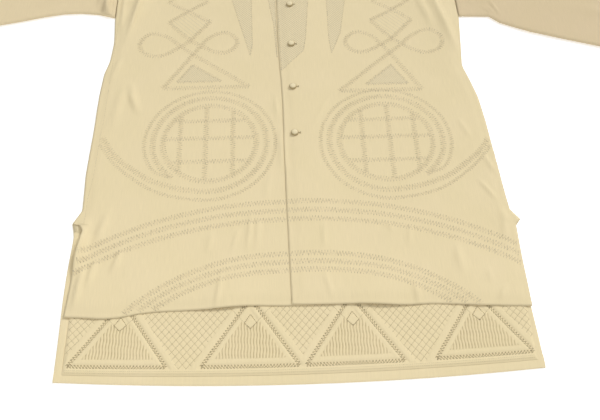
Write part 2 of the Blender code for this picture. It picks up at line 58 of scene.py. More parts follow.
# A fold is a soft ridge from one place to another. Sharp above 1 narrows it, and each of its ends
# takes up the same share of its length.
Fold = namedtuple("Fold", "x up to_x to_up width height sharp")
FOLD_END = 0.45
LOOSE_SIZE, LOOSENESS = 0.055, 0.0010
SLEEVE_FOLDS_ABOVE, SLEEVE_FOLDS_FADE = 0.0016, 0.0006
FRONT_FOLDS = [Fold(*row) for row in (
    # under the arm and down the chest, on the side of the wearer's right arm
    (-0.233, 0.79, -0.2716, 0.585, 0.015, 0.004, 2.0),
    (-0.28, 0.75, -0.279, 0.62, 0.013, 0.0023, 2.0),
    (-0.256, 0.5, -0.233, 0.44, 0.02, 0.0024, 1.6),
    (-0.235, 0.8, -0.271, 0.6, 0.034, 0.0044, 2.6),
    (-0.23, 0.76, -0.256, 0.64, 0.022, 0.002, 1.6),
    (-0.27, 0.575, -0.287, 0.515, 0.02, 0.002, 2.1),
    (-0.2606, 0.525, -0.277, 0.405, 0.03, 0.002, 1.6),
    (-0.2547, 0.52, -0.24, 0.455, 0.024, 0.002, 1.6),
    (-0.262, 0.275, -0.28, 0.2, 0.026, 0.0031, 1.6),
    (-0.2375, 0.206, -0.253, 0.16, 0.015, 0.003, 1.3),
    (-0.289, 0.186, -0.297, 0.104, 0.015, 0.0036, 1.3),
    (-0.272, 0.192, -0.284, 0.138, 0.015, 0.003, 1.3),
    # the loose side edge over the open vent
    (-0.294, 0.262, -0.304, 0.15, 0.034, 0.009, 1.6),
    # upright creases between the placket and the middle of the front
    (-0.061, 0.262, -0.0672, 0.186, 0.014, 0.0022, 1.8),
    (-0.05, 0.258, -0.055, 0.19, 0.016, 0.0017, 1.6),
    (-0.0775, 0.235, -0.09, 0.19, 0.013, 0.0017, 2.0),
    (-0.1, 0.166, -0.1095, 0.1, 0.013, 0.0026, 2.6),
    (-0.114, 0.232, -0.124, 0.188, 0.016, 0.0014, 1.6),
    (-0.044, 0.262, -0.03, 0.345, 0.022, 0.0008, 1.6),
    (-0.024, 0.49, -0.019, 0.415, 0.013, 0.0016, 2.0),
    (-0.016, 0.42, -0.015, 0.32, 0.02, 0.002, 1.6),
    # down the chest, on the side of the wearer's left arm
    (0.236, 0.77, 0.283, 0.54, 0.018, 0.0026, 2.0),
    (0.227, 0.79, 0.285, 0.53, 0.044, 0.0034, 2.2),
    (0.215, 0.74, 0.25, 0.6, 0.026, 0.0024, 1.6),
    (0.256, 0.425, 0.275, 0.375, 0.016, 0.0015, 2.0),
    (0.284, 0.356, 0.302, 0.306, 0.014, 0.0022, 2.2),
    (0.268, 0.31, 0.296, 0.262, 0.013, 0.0024, 2.4),
    (0.0276, 0.4, 0.066, 0.482, 0.014, 0.001, 2.0),
    (0.2996, 0.27, 0.292, 0.19, 0.022, 0.002, 1.6),
    # low on that front
    (0.1262, 0.24, 0.14, 0.217, 0.013, 0.0017, 2.4),
    (0.1632, 0.236, 0.1562, 0.188, 0.013, 0.0016, 2.0),
    (0.0418, 0.246, 0.039, 0.186, 0.013, 0.0017, 2.0),
    (0.0365, 0.164, 0.048, 0.112, 0.013, 0.0017, 2.0),
    (0.158, 0.14, 0.1606, 0.1, 0.013, 0.0028, 2.2),
    (0.283, 0.134, 0.2645, 0.098, 0.014, 0.0022, 2.0),
    (0.2215, 0.205, 0.2265, 0.138, 0.022, 0.002, 1.6),
    (0.2612, 0.158, 0.26, 0.13, 0.013, 0.0016, 2.2),
)]
BACK_FOLDS = [Fold(*row) for row in (
    (-0.306, 0.24, -0.306, 0.06, 0.014, 0.0008, 1.0),
    (0.306, 0.22, 0.306, 0.06, 0.014, 0.0006, 1.0),
)]
SLEEVE_FOLDS = [Fold(*row) for row in (
    # the small tuck where the wearer's right sleeve meets the armhole
    (-0.299, 0.78, -0.31, 0.655, 0.018, 0.0085, 1.2),
    (-0.318, 0.725, -0.296, 0.65, 0.014, 0.006, 1.2),
    (-0.32, 0.76, -0.319, 0.67, 0.016, 0.0036, 1.4),
    (-0.33, 0.745, -0.44, 0.69, 0.04, 0.0022, 1.0),
    (-0.37, 0.86, -0.52, 0.79, 0.05, 0.0022, 1.0),
    (-0.46, 0.74, -0.62, 0.7, 0.046, 0.0024, 1.2),
    (-0.59, 0.8, -0.72, 0.69, 0.04, 0.0018, 1.2),
    (-0.65, 0.64, -0.74, 0.62, 0.03, 0.0014, 1.4),
    # the crumpled cloth under the wearer's left arm
    (0.308, 0.672, 0.326, 0.69, 0.01, 0.0016, 1.6),
    (0.332, 0.662, 0.356, 0.655, 0.012, 0.0018, 1.6),
    (0.345, 0.69, 0.364, 0.64, 0.012, 0.0016, 1.6),
    (0.33, 0.76, 0.43, 0.7, 0.04, 0.0022, 1.0),
    (0.37, 0.84, 0.53, 0.74, 0.05, 0.0022, 1.0),
    (0.48, 0.66, 0.62, 0.62, 0.044, 0.0022, 1.2),
    (0.58, 0.74, 0.7, 0.64, 0.04, 0.002, 1.2),
    (0.65, 0.56, 0.73, 0.54, 0.03, 0.0014, 1.4),
)]

# Where each panel's outline turns from hem to side and from side to top, in x and up.
PANEL_CORNERS = {
    "back": ((-0.3103, 0.0130), (0.3107, 0.0114), (0.0853, 0.9635), (-0.0853, 0.9635)),
    "front_right": ((-0.3077, 0.1015), (0.0300, 0.1085), (-0.0853, 0.9635), (-0.1000, 0.9600)),
    "front_left": ((-0.0077, 0.1090), (0.3100, 0.0969), (0.1000, 0.9600), (0.0853, 0.9635)),
}
# An outline is smoothed between its sharp turns. A front's rim lies down on what is below.
SHARP_TURN = math.radians(24)
OUTLINE_STEP, OUTLINE_PASSES = 0.002, 12
RIM_DROP, RIM_REACH, RIM_GAP = 0.0016, 0.018, 0.0001
FRONT_CELL, BACK_CELL = 0.0030, 0.0100
FRONT_PASSES = 50
BACK_CLOTH = 0.0010
WELD = 1e-5
# How far up a solid's upper faces look at least, and how far up or down a sleeve's rims look at
# most: 1 is straight up.
UPPER_NORMAL, RIM_NORMAL = 0.5, 0.35
RAY_HEIGHT = 0.05

# The edge of the front that lies over, from the hem up.
EdgePoint = namedtuple("EdgePoint", "up x")
PLACKET_EDGE = [EdgePoint(*row) for row in (
    (0.1125, -0.0077), (0.238, -0.01), (0.415, -0.0114), (0.54, -0.015), (0.65, -0.0172),
    (0.79, -0.018), (0.9, -0.018),
)]
# The side seam that shows on the front by the wearer's right arm.
SIDE_SEAM = [EdgePoint(*row) for row in (
    (0.246, -0.2968), (0.2897, -0.2969), (0.3287, -0.2928), (0.4114, -0.29), (0.4351, -0.2884),
    (0.5462, -0.2858), (0.65, -0.285),
)]

# A side's motifs: a medallion, and the apex and base of the triangle over it. Out is the way
# to the nearer sleeve.
Motif = namedtuple("Motif", "x up out base_in base_out base_up apex apex_up")
MOTIFS = (
    Motif(-0.1239, 0.3870, -1, -0.0597, 0.0782, 0.1108, 0.0316, 0.1835),
    Motif(0.1432, 0.3816, 1, -0.0646, 0.0662, 0.1018, 0.0230, 0.1830),
)
INNER_RING, INNER_RING_WIDTH = 0.0705, 0.0108
RING_STRETCH = 1.025
BAR_WIDTH = 0.0094
BAR_OUTS = (-0.0350, 0.0060, 0.0450)
BAR_RISES = (-0.0362, 0.0080, 0.0420)
BAR_REACH = 0.0690
INNER_TRIANGLE, INNER_TRIANGLE_RISE, INNER_TRIANGLE_LINE = 0.51, 0.026, 0.62

# The two outer rings, each one line: from a shared point low on its outer side, once round over
# the top, and along a tail to the side seam. Degrees are counted from the outer side upwards.
RingPoint = namedtuple("RingPoint", "degrees radius")
TailPoint = namedtuple("TailPoint", "out rise")
Ring = namedtuple("Ring", "width turn tail")
RING_STEP, INNER_RING_STEP = 15, 4
RINGS = [
    Ring(width, [RingPoint(*row) for row in turn], [TailPoint(*row) for row in tail])
    for width, turn, tail in (
        (0.011, ((-49.5, 0.0826), (-15, 0.086), (180, 0.086), (270, 0.0882)),
         ((0.04, -0.085), (0.0795, -0.071), (0.1002, -0.0575), (0.1387, -0.0239), (0.1636, 0.0155))),
        (0.0076, ((-49.5, 0.0826), (-35, 0.095), (-15, 0.0988), (90, 0.0988), (180, 0.0995),
                  (270, 0.103)),
         ((0.043, -0.1), (0.075, -0.089), (0.105, -0.069), (0.1395, -0.0364), (0.166, 0.002))),
    )
]

# The knot over a triangle, from its apex: two strands, one to each side of it.
KnotPoint = namedtuple("KnotPoint", "outer outer_rise inner inner_rise")
KNOT = [KnotPoint(*row) for row in (
    (-0.026, 0.076, 0.044, 0.076),
    (0.006, 0.0325, 0.006, 0.0325),
    (0.022, 0.0195, -0.0125, 0.02),
    (0.04, 0.005, -0.03, 0.0075),
    (0.061, -0.002, -0.05, 0.0025),
    (0.083, 0.0075, -0.0665, 0.0125),
    (0.089, 0.03, -0.0712, 0.032),
    (0.07, 0.0505, -0.0524, 0.0495),
    (0.042, 0.04, -0.027, 0.0395),
    (0.022, 0.0195, -0.0125, 0.02),
    (0.0, 0.0, 0.0, 0.0),
)]
DIAMOND_TOP = TailPoint(0.013, 0.1010)
SECOND_DIAMOND = (TailPoint(0.047, 0.1260), TailPoint(-0.020, 0.1245), TailPoint(0.016, 0.1510))

# Three lines of stitching in each arc over the hem: a drop that grows with a power of x.
Arc = namedtuple("Arc", "middle top drop reach power spacing")
ARCS = (
    Arc(0.000, 0.2745, 0.0765, 0.300, 2.3, 0.0150),
    Arc(0.006, 0.1878, 0.0840, 0.235, 2.6, 0.0132),
)
ARC_LINES, ARC_STEPS, ARC_REACH = 3, 160, 0.32

# Long pointed patches beside the placket, as outlines in x and up.
Corner = namedtuple("Corner", "x up")
KNIVES = [[Corner(*row) for row in outline] for outline in (
    ((-0.0625, 0.566), (-0.059, 0.59), (-0.0606, 0.7), (-0.07, 0.866), (-0.102, 0.866), (-0.0942, 0.7)),
    ((-0.0186, 0.56), (-0.02, 0.7), (-0.02, 0.866), (-0.038, 0.866), (-0.0316, 0.7), (-0.0228, 0.634)),
    ((0.071, 0.566), (0.088, 0.614), (0.1013, 0.7), (0.11, 0.866), (0.078, 0.866), (0.069, 0.7),
     (0.068, 0.6)),
    ((-0.012, 0.53), (0.0246, 0.572), (0.0291, 0.6), (0.0375, 0.7), (0.045, 0.866), (-0.016, 0.866),
     (-0.015, 0.66)),
)]
KNIFE_LINE = 0.0030
# Parallel threads that fill a patch: how far apart they lie, and how wide each one is.
Hatch = namedtuple("Hatch", "spacing thread")
KNIFE_HATCH = Hatch(0.0033, 0.0019)
TRIANGLE_HATCH = Hatch(0.0027, 0.0016)
DIAMOND_HATCH = Hatch(0.0060, 0.0008)
HATCH_ANGLE = math.radians(-48)
HATCH_STEP = 0.006
PLACKET_CLEARANCE = 0.001

# A thread's height as a share of its width, in the zigzags and in all else. Then how deep its ends
# sink, as a share of its height, and its sides there, as a share of that.
ZIGZAG_HEIGHT, STITCH_HEIGHT, END_SINK, SIDE_SINK = 0.55, 0.5, 0.55, 0.4

# Straight stitches: the length of one with the gap after it, the gap's share of that, and the
# width of the thread.
Stitch = namedtuple("Stitch", "length gap width")
SEAM_STITCH = Stitch(0.0026, 0.2, 0.0005)
QUILT_STITCH = Stitch(0.0024, 0.25, 0.0004)
BORDER_STITCH = Stitch(0.0024, 0.35, 0.0003)
NOTCH_STITCH = Stitch(0.0022, 0.2, 0.0005)
LOZENGE_STITCH = Stitch(0.0026, 0.25, 0.0011)
ROW_STITCH = Stitch(0.0042, 0.6, 0.0010)

# The tail band. Its frames, ribs and lattice are finer than the solid's, fitted to the photo.
BAND_LEFT, BAND_RIGHT = -0.300, 0.303
BAND_LOW, BAND_HIGH = 0.0225, 0.1260
BAND_FLOOR, BAND_TOP = 0.0015, 0.0025
BAND_HEM, BAND_RIM = 0.0003, 0.0045
BORDER_ROWS, BORDER_INSET, TOP_MARGIN = (0.0030, 0.0058), 0.003, 0.003
BAND_COLUMNS, BAND_ROWS = 760, 92
BAND_BOW, BAND_BOW_FADE, BAND_BOW_HALF = 0.0100, 0.100, 0.31
SIDE_SLOPE = 1.40
TRIANGLE_APEX, TRIANGLE_BASE = 0.1165, 0.0367
TRIANGLE_CENTRES = (-0.2320, -0.0625, 0.0712, 0.2370)
BAND_ZIGZAG, BAND_ZIGZAG_FILL = 0.0058, 0.85
ROW_APART = 0.0038
EDGE_STRIP = 0.0080
FRAME_WIDTH, FRAME_FOOT = 0.0056, 0.0068
RIB_PITCH, RIB_HEIGHT, RIB_ROUNDNESS = 0.0040, 0.0012, 0.6
RIB_WAVE, RIB_WAVE_LENGTH, RIB_WAVE_LEAN = 0.0004, 0.017, 0.11
QUILT_PITCH, QUILT_HEIGHT, QUILT_SLOPE = 0.0096, 0.0003, 1.10
STRIP_HEIGHT, BORDER_SHARE = 0.0008, 0.8
NOTCH_UP, NOTCH_SLOPE, NOTCH_REACH, NOTCH_HEIGHT = 0.0800, 1.1, 0.024, 0.0002
LOZENGE_HALF, LOZENGE_RISE, LOZENGE_PEAK = (0.0082, 0.0072), 0.0085, 1.6
# Painted shade in the lines of the lattice and the grooves between the ribs: how dark each is drawn.
QUILT_LINE, QUILT_LINE_SHADE = 0.08, 0.35
RIB_SHADE, RIB_SHADE_START, RIB_SHADE_FALL = 0.9, 1.2, 1.4

# The hems are strips on the tail's upper face. Their section says how high they stand across
# their width, both as shares.
TAIL_TOP = 0.0012
HEM_STRIP, SIDE_HEM = 0.0175, 0.0100
HEM_STEPS, SIDE_HEM_STEPS = 120, 40
HEM_RAISE, SIDE_HEM_RAISE = 0.0005, 0.00055
HEM_SECTION = ((0.0, 0.0), (0.04, 0.8), (0.12, 1.0), (0.88, 1.0), (0.97, 0.75), (1.0, 0.0))
VENT_TOP = 0.234

# The sewing at the neck, armholes and cuffs.
NECK_MIDDLE, NECK_HALF, NECK_FRONT, NECK_BACK = 0.962, 0.0873, 0.0775, 0.0100
NECK_SEAMS = (0.0025, 0.0115)
NECK_TURN = range(-100, 255, 4)
ARMHOLE_X, ARMHOLE_UPS = 0.2975, (0.660, 0.905)
CUFFS = {
    "sleeve_right": [(-0.720, 0.590), (-0.742, 0.742)],
    "sleeve_left": [(0.705, 0.506), (0.742, 0.678)],
}

BUTTON_X, BUTTON_SINK = 0.0052, 0.0001
BUTTON_FIRST_UP, BUTTON_SPACING, BUTTON_COUNT = 0.3995, 0.094, 6
# As shares of a button's radius: how high its middle lies, how tall its dome is, and where the
# painted shade round its rim starts and over which width it darkens.
BUTTON_RISE, BUTTON_DOME, RIM_START, RIM_SHARE = 0.20, 0.50, 0.66, 0.24
# How dark the painted shade round a button's rim is.
RIM_SHADE = 0.95
BUTTONHOLE, BUTTONHOLE_BEFORE = 0.0140, 0.35
HOLE_STITCH, HOLE_HALF, HOLE_STITCH_END = 0.0008, 0.0002, 0.0012
END_BARS, END_BAR_STEP, END_BAR_REACH, END_BAR_LESS = 4, 0.0010, 0.0022, 0.0004
HOLE_THREAD, BAR_THREAD = (0.0006, 0.0003), (0.0011, 0.0006)

# Painted shade: one sleeve's cloth is drawn a little duller and browner than the body's, and the other
# more so, where the light falls off.
SLEEVE_PAINTED_SHADE = {"sleeve_right": (0.950, 0.930, 0.945), "sleeve_left": (0.890, 0.855, 0.870)}

CAMERA_PLACE = (-0.0137, -0.856, 0.955)
CAMERA_TILT, CAMERA_TURN = math.radians(33.5), math.radians(-2)
CAMERA_LENS = 48
KEY_FROM, KEY_STRENGTH, KEY_SOFTNESS = (0.78, 0.87, 0.90), 1.95, 17
FILL_FROM, FILL_STRENGTH, FILL_SOFTNESS = (-0.5, -0.9, 1.1), 0.45, 60
HEM_LAMP_PLACE, HEM_LAMP_AIM_UP = (-0.25, -1.15, 1.25), 0.05
HEM_LAMP_POWER, HEM_LAMP_SIZE = 4.0, 1.0
SKY_STRENGTH, FLOOR_GLOW, FLOOR_LEVEL = 0.45, 0.30, -0.0004


def linear(code):
    """An sRGB hex colour as linear red, green and blue."""
    parts = [int(code[i:i + 2], 16) / 255 for i in (1, 3, 5)]
    return [c / 12.92 if c <= 0.04045 else ((c + 0.055) / 1.055) ** 2.4 for c in parts]


def length_property(name, description, default, least, most):
    """A length in metres, with its limits."""
    return bpy.props.FloatProperty(
        name=name, description=description, default=default, min=least, max=most, precision=4,
        subtype="DISTANCE", unit="LENGTH",
    )


def colour_property(name, description, code):
    """A colour, given as sRGB hex and kept as linear."""
    return bpy.props.FloatVectorProperty(
        name=name, description=description, default=linear(code), min=0, max=1, subtype="COLOR",
    )


class ShirtSizes(bpy.types.PropertyGroup):
    """Sizes that change the finish and not the cut."""

    cloth: length_property("Cloth", "Thickness of the cotton cloth", 0.0004, 0.0003, 0.0012)
    stitch_pitch: length_property("Zigzag pitch", "Length of one zig and zag", 0.0041, 0.0015, 0.008)
    line_width: length_property("Zigzag width", "Width of the single lines", 0.0100, 0.003, 0.014)
    thread: length_property("Thread", "Thickness of the embroidery thread", 0.0008, 0.0003, 0.0015)
    fold_depth: bpy.props.FloatProperty(
        name="Folds", description="Scale of all creases in the cloth", default=1.0,
        min=0.0, max=1.5, subtype="FACTOR",
    )
    button: length_property("Button", "Width of a button", 0.0120, 0.008, 0.014)


class ShirtColours(bpy.types.PropertyGroup):
    """Colours of the cloth, the threads and the stage."""

    cloth: colour_property("Cloth", "Cream cotton", "#E6D5AE")
    shade: colour_property("Cloth, uneven", "Yellower places in the cream", "#E1D1A6")
    thread: colour_property("Thread", "Embroidery thread", "#DBCAA3")
    filling: colour_property("Filling", "Thread of the hatched patches", "#CFC3A3")
    # The band thread's colour also serves as the painted shade in the band's lines and grooves and
    # round the buttons.
    dark_thread: colour_property("Band thread", "Thread of the quilted band", "#AE9C73")
    button: colour_property("Button", "Covered buttons", "#E6D8B2")
    floor: colour_property("Floor", "Plain floor", "#FAFAFA")


# Small helpers.


def along_y(up):
    return up - HALF_LENGTH


def placket_x(up):
    """Where the edge of the front that lies over runs, at a place along the shirt."""
    return float(np.interp(up, *zip(*PLACKET_EDGE)))


def distances(line):
    """How far along a line of points each of them lies."""
    return np.concatenate([[0], np.cumsum(np.hypot(*np.diff(line, axis=0).T))])


def evenly(line, count):
    """A number of even steps along a line of points."""
    along = distances(line)
    places = np.linspace(0, along[-1], count + 1)
    return np.column_stack([np.interp(places, along, line[:, i]) for i in (0, 1)])


def resample(path, step):
    """Even steps of about one length along a path."""
    path = np.array(path, float)
    return evenly(path, max(int(round(distances(path)[-1] / step)), 1))


def add_object(name, data):
    made = bpy.data.objects.new(name, data)
    bpy.context.scene.collection.objects.link(made)
    return made


def object_from(bm, name):
    mesh = bpy.data.meshes.new(name)
    bm.to_mesh(mesh)
    bm.free()
    mesh.shade_smooth()
    return add_object(name, mesh)


def mesh_object(points, faces, name):
    mesh = bpy.data.meshes.new(name)
    mesh.from_pydata(points, [], faces)
    mesh.update()
    mesh.shade_smooth()
    return add_object(name, mesh)


def select_only(obj):
    bpy.ops.object.select_all(action="DESELECT")
    obj.select_set(True)
    bpy.context.view_layer.objects.active = obj


def finish_piece(obj, material, replaced=()):
    """Give a finished piece its material and its place on the frame."""
    obj.data.materials.clear()
    obj.data.materials.append(material)
    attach(obj, "root")
    if replaced:
        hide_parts(*replaced)
    return obj


def set_inputs(tree, node, inputs):
    """Set a node's inputs, or link those that are given as another node's output."""
    for name, value in inputs.items():
        if isinstance(value, bpy.types.NodeSocket):
            tree.links.new(value, node.inputs[name])
        else:
            node.inputs[name].default_value = value


def add_node(tree, kind, settings, inputs):
    """Add a node with its settings and its inputs."""
    node = tree.nodes.new(kind)
    for name, value in settings.items():
        setattr(node, name, value)
    set_inputs(tree, node, inputs)
    return node


def new_material(name):
    """A new material, its tree, and the place on the object that its patterns read."""
    made = bpy.data.materials.new(name)
    made.use_nodes = True
    place = add_node(made.node_tree, "ShaderNodeTexCoord", {}, {}).outputs["Object"]
    return made, made.node_tree, place


def plain_weave(tree, place, pitch):
    """Height of a plain weave: warp and weft threads as two sets of rounded bands."""
    warp, weft = (
        add_node(tree, "ShaderNodeTexWave", {"bands_direction": direction}, {
            "Vector": place, "Scale": math.pi / 10 / pitch, "Distortion": 1.2, "Detail": 1.0,
            "Detail Scale": 0.02,
        }).outputs["Fac"]
        for direction in "XY"
    )
    return add_node(tree, "ShaderNodeMath", {"operation": "MULTIPLY"}, {0: warp, 1: weft}).outputs[0]


def cotton_cloth(name, cloth, shade, pitch=0.0007, lines=None):
    """Plain-woven cotton lawn, unbleached and pressed: matte, softly uneven in tone, with the
    faint slubs of its yarn and a little sheen at a low angle. The real yarn lies about 0.35 mm
    apart; it is drawn at 0.7 mm so that it shows."""
    made, tree, place = new_material(name)
    patches = add_node(tree, "ShaderNodeTexNoise", {}, {
        "Vector": place, "Scale": 14.0, "Detail": 3.0, "Roughness": 0.55,
    })
    tone = add_node(tree, "ShaderNodeMix", {"data_type": "RGBA"}, {
        "Factor": patches.outputs["Fac"], "A": (*cloth, 1), "B": (*shade, 1),
    })
    stretched = add_node(tree, "ShaderNodeMapping", {}, {
        "Vector": place, "Scale": (1200.0, 45.0, 1.0),
    })
    slubs = add_node(tree, "ShaderNodeTexNoise", {}, {
        "Vector": stretched.outputs[0], "Scale": 1.0, "Detail": 2.0,
    })
    streaks = add_node(tree, "ShaderNodeMapRange", {}, {
        "Value": slubs.outputs["Fac"], "From Min": 0.3, "From Max": 0.7,
        "To Min": 0.965, "To Max": 1.02,
    })
    colour = add_node(tree, "ShaderNodeMix", {"data_type": "RGBA", "blend_type": "MULTIPLY"}, {
        "Factor": 1.0, "A": tone.outputs["Result"], "B": streaks.outputs[0],
    }).outputs["Result"]
    # The lines may paint shade into the colour.
    if lines:
        colour = lines(tree, colour)
    weave = plain_weave(tree, place, pitch)
    bump = add_node(tree, "ShaderNodeBump", {}, {
        "Height": weave, "Strength": 0.35, "Distance": 0.00015,
    })
    set_inputs(tree, tree.nodes["Principled BSDF"], {
        "Base Color": colour, "Normal": bump.outputs[0], "Roughness": 0.88, "IOR": 1.46,
        "Specular IOR Level": 0.25, "Sheen Weight": 0.12, "Sheen Roughness": 0.5,
    })
    return made


def colour_of(name):
    """One of the colours set in the panel."""
    return list(getattr(bpy.context.scene.shirt_colours, name))


def painted_groove_shade(tree, colour):
    """Painted shade in the colour of the band's thread, as deep as an attribute says: in the band's
    stitched lines and rib grooves, and round a button's rim.
    """
    groove = add_node(tree, "ShaderNodeAttribute", {"attribute_name": "groove"}, {})
    return add_node(tree, "ShaderNodeMix", {"data_type": "RGBA"}, {
        "Factor": groove.outputs["Fac"], "A": colour, "B": (*colour_of("dark_thread"), 1),
    }).outputs["Result"]


def sewing_thread(name, colour, shading):
    """Mercerised cotton thread, twisted: a soft gloss along its length, broken by the twist.
    The ply turns each 0.9 mm. Shading says how much darker its deep-set stitches are drawn: painted
    shade, laid in speckles at random along the thread."""
    made, tree, place = new_material(name)
    twist = add_node(tree, "ShaderNodeTexWave", {"bands_direction": "DIAGONAL"}, {
        "Vector": place, "Scale": math.pi / 10 / 0.0009, "Distortion": 2.0,
    })
    # Painted shade of deep-set stitches, as a darker copy of the thread's colour.
    painted_speckle_shade = [c * (1 - shading) for c in colour]
    uneven = add_node(tree, "ShaderNodeTexNoise", {}, {
        "Vector": place, "Scale": 330.0, "Detail": 1.0,
    })
    speckle_places = add_node(tree, "ShaderNodeMapRange", {}, {
        "Value": uneven.outputs["Fac"], "From Min": 0.40, "From Max": 0.62,
    })
    tone = add_node(tree, "ShaderNodeMix", {"data_type": "RGBA"}, {
        "Factor": speckle_places.outputs[0], "A": (*colour, 1), "B": (*painted_speckle_shade, 1),
    })
    bump = add_node(tree, "ShaderNodeBump", {}, {
        "Height": twist.outputs["Fac"], "Strength": 0.4, "Distance": 0.0001,
    })
    set_inputs(tree, tree.nodes["Principled BSDF"], {
        "Base Color": tone.outputs["Result"], "Normal": bump.outputs[0], "Roughness": 0.6,
        "IOR": 1.5, "Sheen Weight": 0.1,
    })
    return made


def get_material(name, make, *arguments, **named):
    """The material of that name, made the first time that it is asked for."""
    return bpy.data.materials.get(name) or make(name, *arguments, **named)


def shirt_cotton():
    return get_material("Cream cotton lawn", cotton_cloth, colour_of("cloth"), colour_of("shade"))


def shaded_sleeve_cotton(node):
    """The same lawn with painted shade: a little duller and browner, and more so on one sleeve."""
    cloth, shade = (
        [c * tone for c, tone in zip(colour_of(name), SLEEVE_PAINTED_SHADE[node])]
        for name in ("cloth", "shade")
    )
    return get_material(f"Cream cotton lawn, {node}", cotton_cloth, cloth, shade)


def band_cotton():
    # The quilted lawn, with painted shade in its stitched lines and rib grooves.
    return get_material(
        "Quilted cotton lawn", cotton_cloth, colour_of("cloth"), colour_of("shade"),
        lines=painted_groove_shade,
    )


def button_cotton():
    """The cloth of a covered button, with painted shade round its rim."""
    cream = colour_of("button")
    return get_material(
        "Covered button cotton", cotton_cloth, cream, cream, pitch=0.0006, lines=painted_groove_shade
    )


def pale_thread():
    return get_material("Beige cotton thread", sewing_thread, colour_of("thread"), 0.34)


def filling_thread():
    return get_material("Untwisted cotton floss", sewing_thread, colour_of("filling"), 0.06)


def dark_thread():
    return get_material("Brown cotton thread", sewing_thread, colour_of("dark_thread"), 0.40)


# Cloth.


def ease(t):
    """A smooth step from 0 to 1."""
    t = np.clip(t, 0, 1)
    return t * t * (3 - 2 * t)


def fold_heights(x, up, folds):
    """Height of all folds at many points: each eases off to its sides and its two ends."""
    total = np.zeros_like(x)
    for fold in folds:
        run, rise = fold.to_x - fold.x, fold.to_up - fold.up
        length = math.hypot(run, rise)
        along = ((x - fold.x) * run + (up - fold.up) * rise) / length**2
        across = np.abs((x - fold.x) * rise - (up - fold.up) * run) / length
        side = 0.5 + 0.5 * np.cos(math.pi * np.minimum(across / (fold.width / 2), 1))
        ends = ease(np.minimum(along, 1 - along) / FOLD_END)
        total += fold.height * side**fold.sharp * ends
    return total


def loosen(x, up, height):
    """Gentle unevenness of cloth that was laid down by hand."""
    return np.array([
        height * (0.5 + 0.5 * noise.noise(Vector((a / LOOSE_SIZE, b / LOOSE_SIZE, 0))))
        for a, b in zip(x, up)
    ])


def coordinates(mesh):
    flat = np.empty(len(mesh.vertices) * 3)
    mesh.vertices.foreach_get("co", flat)
    return flat.reshape(-1, 3)


def welded_solid(node):
    """A solid of the frame, with its faces joined at their corners."""
    bm = bmesh.new()
    bm.from_mesh(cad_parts[node].data)
    bmesh.ops.remove_doubles(bm, verts=bm.verts, dist=WELD)
    return bm


def upper_faces(node):
    """The upper faces of a solid."""
    bm = welded_solid(node)
    lower = [face for face in bm.faces if face.normal.z < UPPER_NORMAL]
    bmesh.ops.delete(bm, geom=lower, context="FACES")
    return bm


def outline_sides(bm, corners):
    """A panel's hem, right side, top and left side, each as points in x and up."""
    beside = {}
    for edge in bm.edges:
        if edge.is_boundary:
            a, b = edge.verts
            beside.setdefault(a, []).append(b)
            beside.setdefault(b, []).append(a)
    ends = [
        min(beside, key=lambda vertex: math.dist(vertex.co.xy, (x, along_y(up))))
        for x, up in corners
    ]
    loop = [ends[0], max(beside[ends[0]], key=lambda vertex: vertex.co.x)]
    while loop[-1] is not ends[0]:
        a, b = beside[loop[-1]]
        loop.append(b if a is loop[-2] else a)
    breaks = [loop.index(end) for end in ends] + [len(loop) - 1]
    places = [(vertex.co.x, vertex.co.y + HALF_LENGTH) for vertex in loop]
    hem, right, top, left = (places[a:b + 1] for a, b in zip(breaks, breaks[1:]))
    return [rounded(side) for side in (hem, right, top[::-1], left[::-1])]


def rounded(points):
    """A smooth line through an outline's points, which keeps its sharp corners."""
    points = np.array(points)
    heading = np.unwrap(np.arctan2(*np.diff(points, axis=0).T[::-1]))
    corners = np.flatnonzero(np.abs(np.diff(heading)) > SHARP_TURN) + 1
    line = []
    for a, b in zip([0, *corners], [*corners, len(points) - 1]):
        part = resample(points[a:b + 1], OUTLINE_STEP)
        for _ in range(OUTLINE_PASSES):
            part[1:-1] = (part[:-2] + 2 * part[1:-1] + part[2:]) / 4
        line += list(part[:-1])
    return np.array([*line, points[-1]])


def fill_outline(sides, rows, columns):
    """A grid of points in x and up that fills four sides, blended across and along."""
    hem, right, top, left = sides
    u = np.linspace(0, 1, columns + 1)[None, :, None]
    v = np.linspace(0, 1, rows + 1)[:, None, None]
    hem, top = evenly(hem, columns)[None], evenly(top, columns)[None]
    left, right = evenly(left, rows)[:, None], evenly(right, rows)[:, None]
    corners = (1 - v) * ((1 - u) * hem[:, :1] + u * hem[:, -1:])
    corners = corners + v * ((1 - u) * top[:, :1] + u * top[:, -1:])
    return (1 - v) * hem + v * top + (1 - u) * left + u * right - corners


def soften(heights, passes):
    """Ease the facets out of a grid of heights."""
    for _ in range(passes):
        around = np.pad(heights, 1, mode="edge")
        sides = around[:-2, 1:-1] + around[2:, 1:-1] + around[1:-1, :-2] + around[1:-1, 2:]
        heights = (sides + 4 * heights) / 8
    return heights


def from_rim(rows, columns):
    """How many cells each point of a grid lies from the grid's rim."""
    along, across = np.arange(rows + 1)[:, None], np.arange(columns + 1)[None]
    return np.minimum(np.minimum(along, rows - along), np.minimum(across, columns - across))


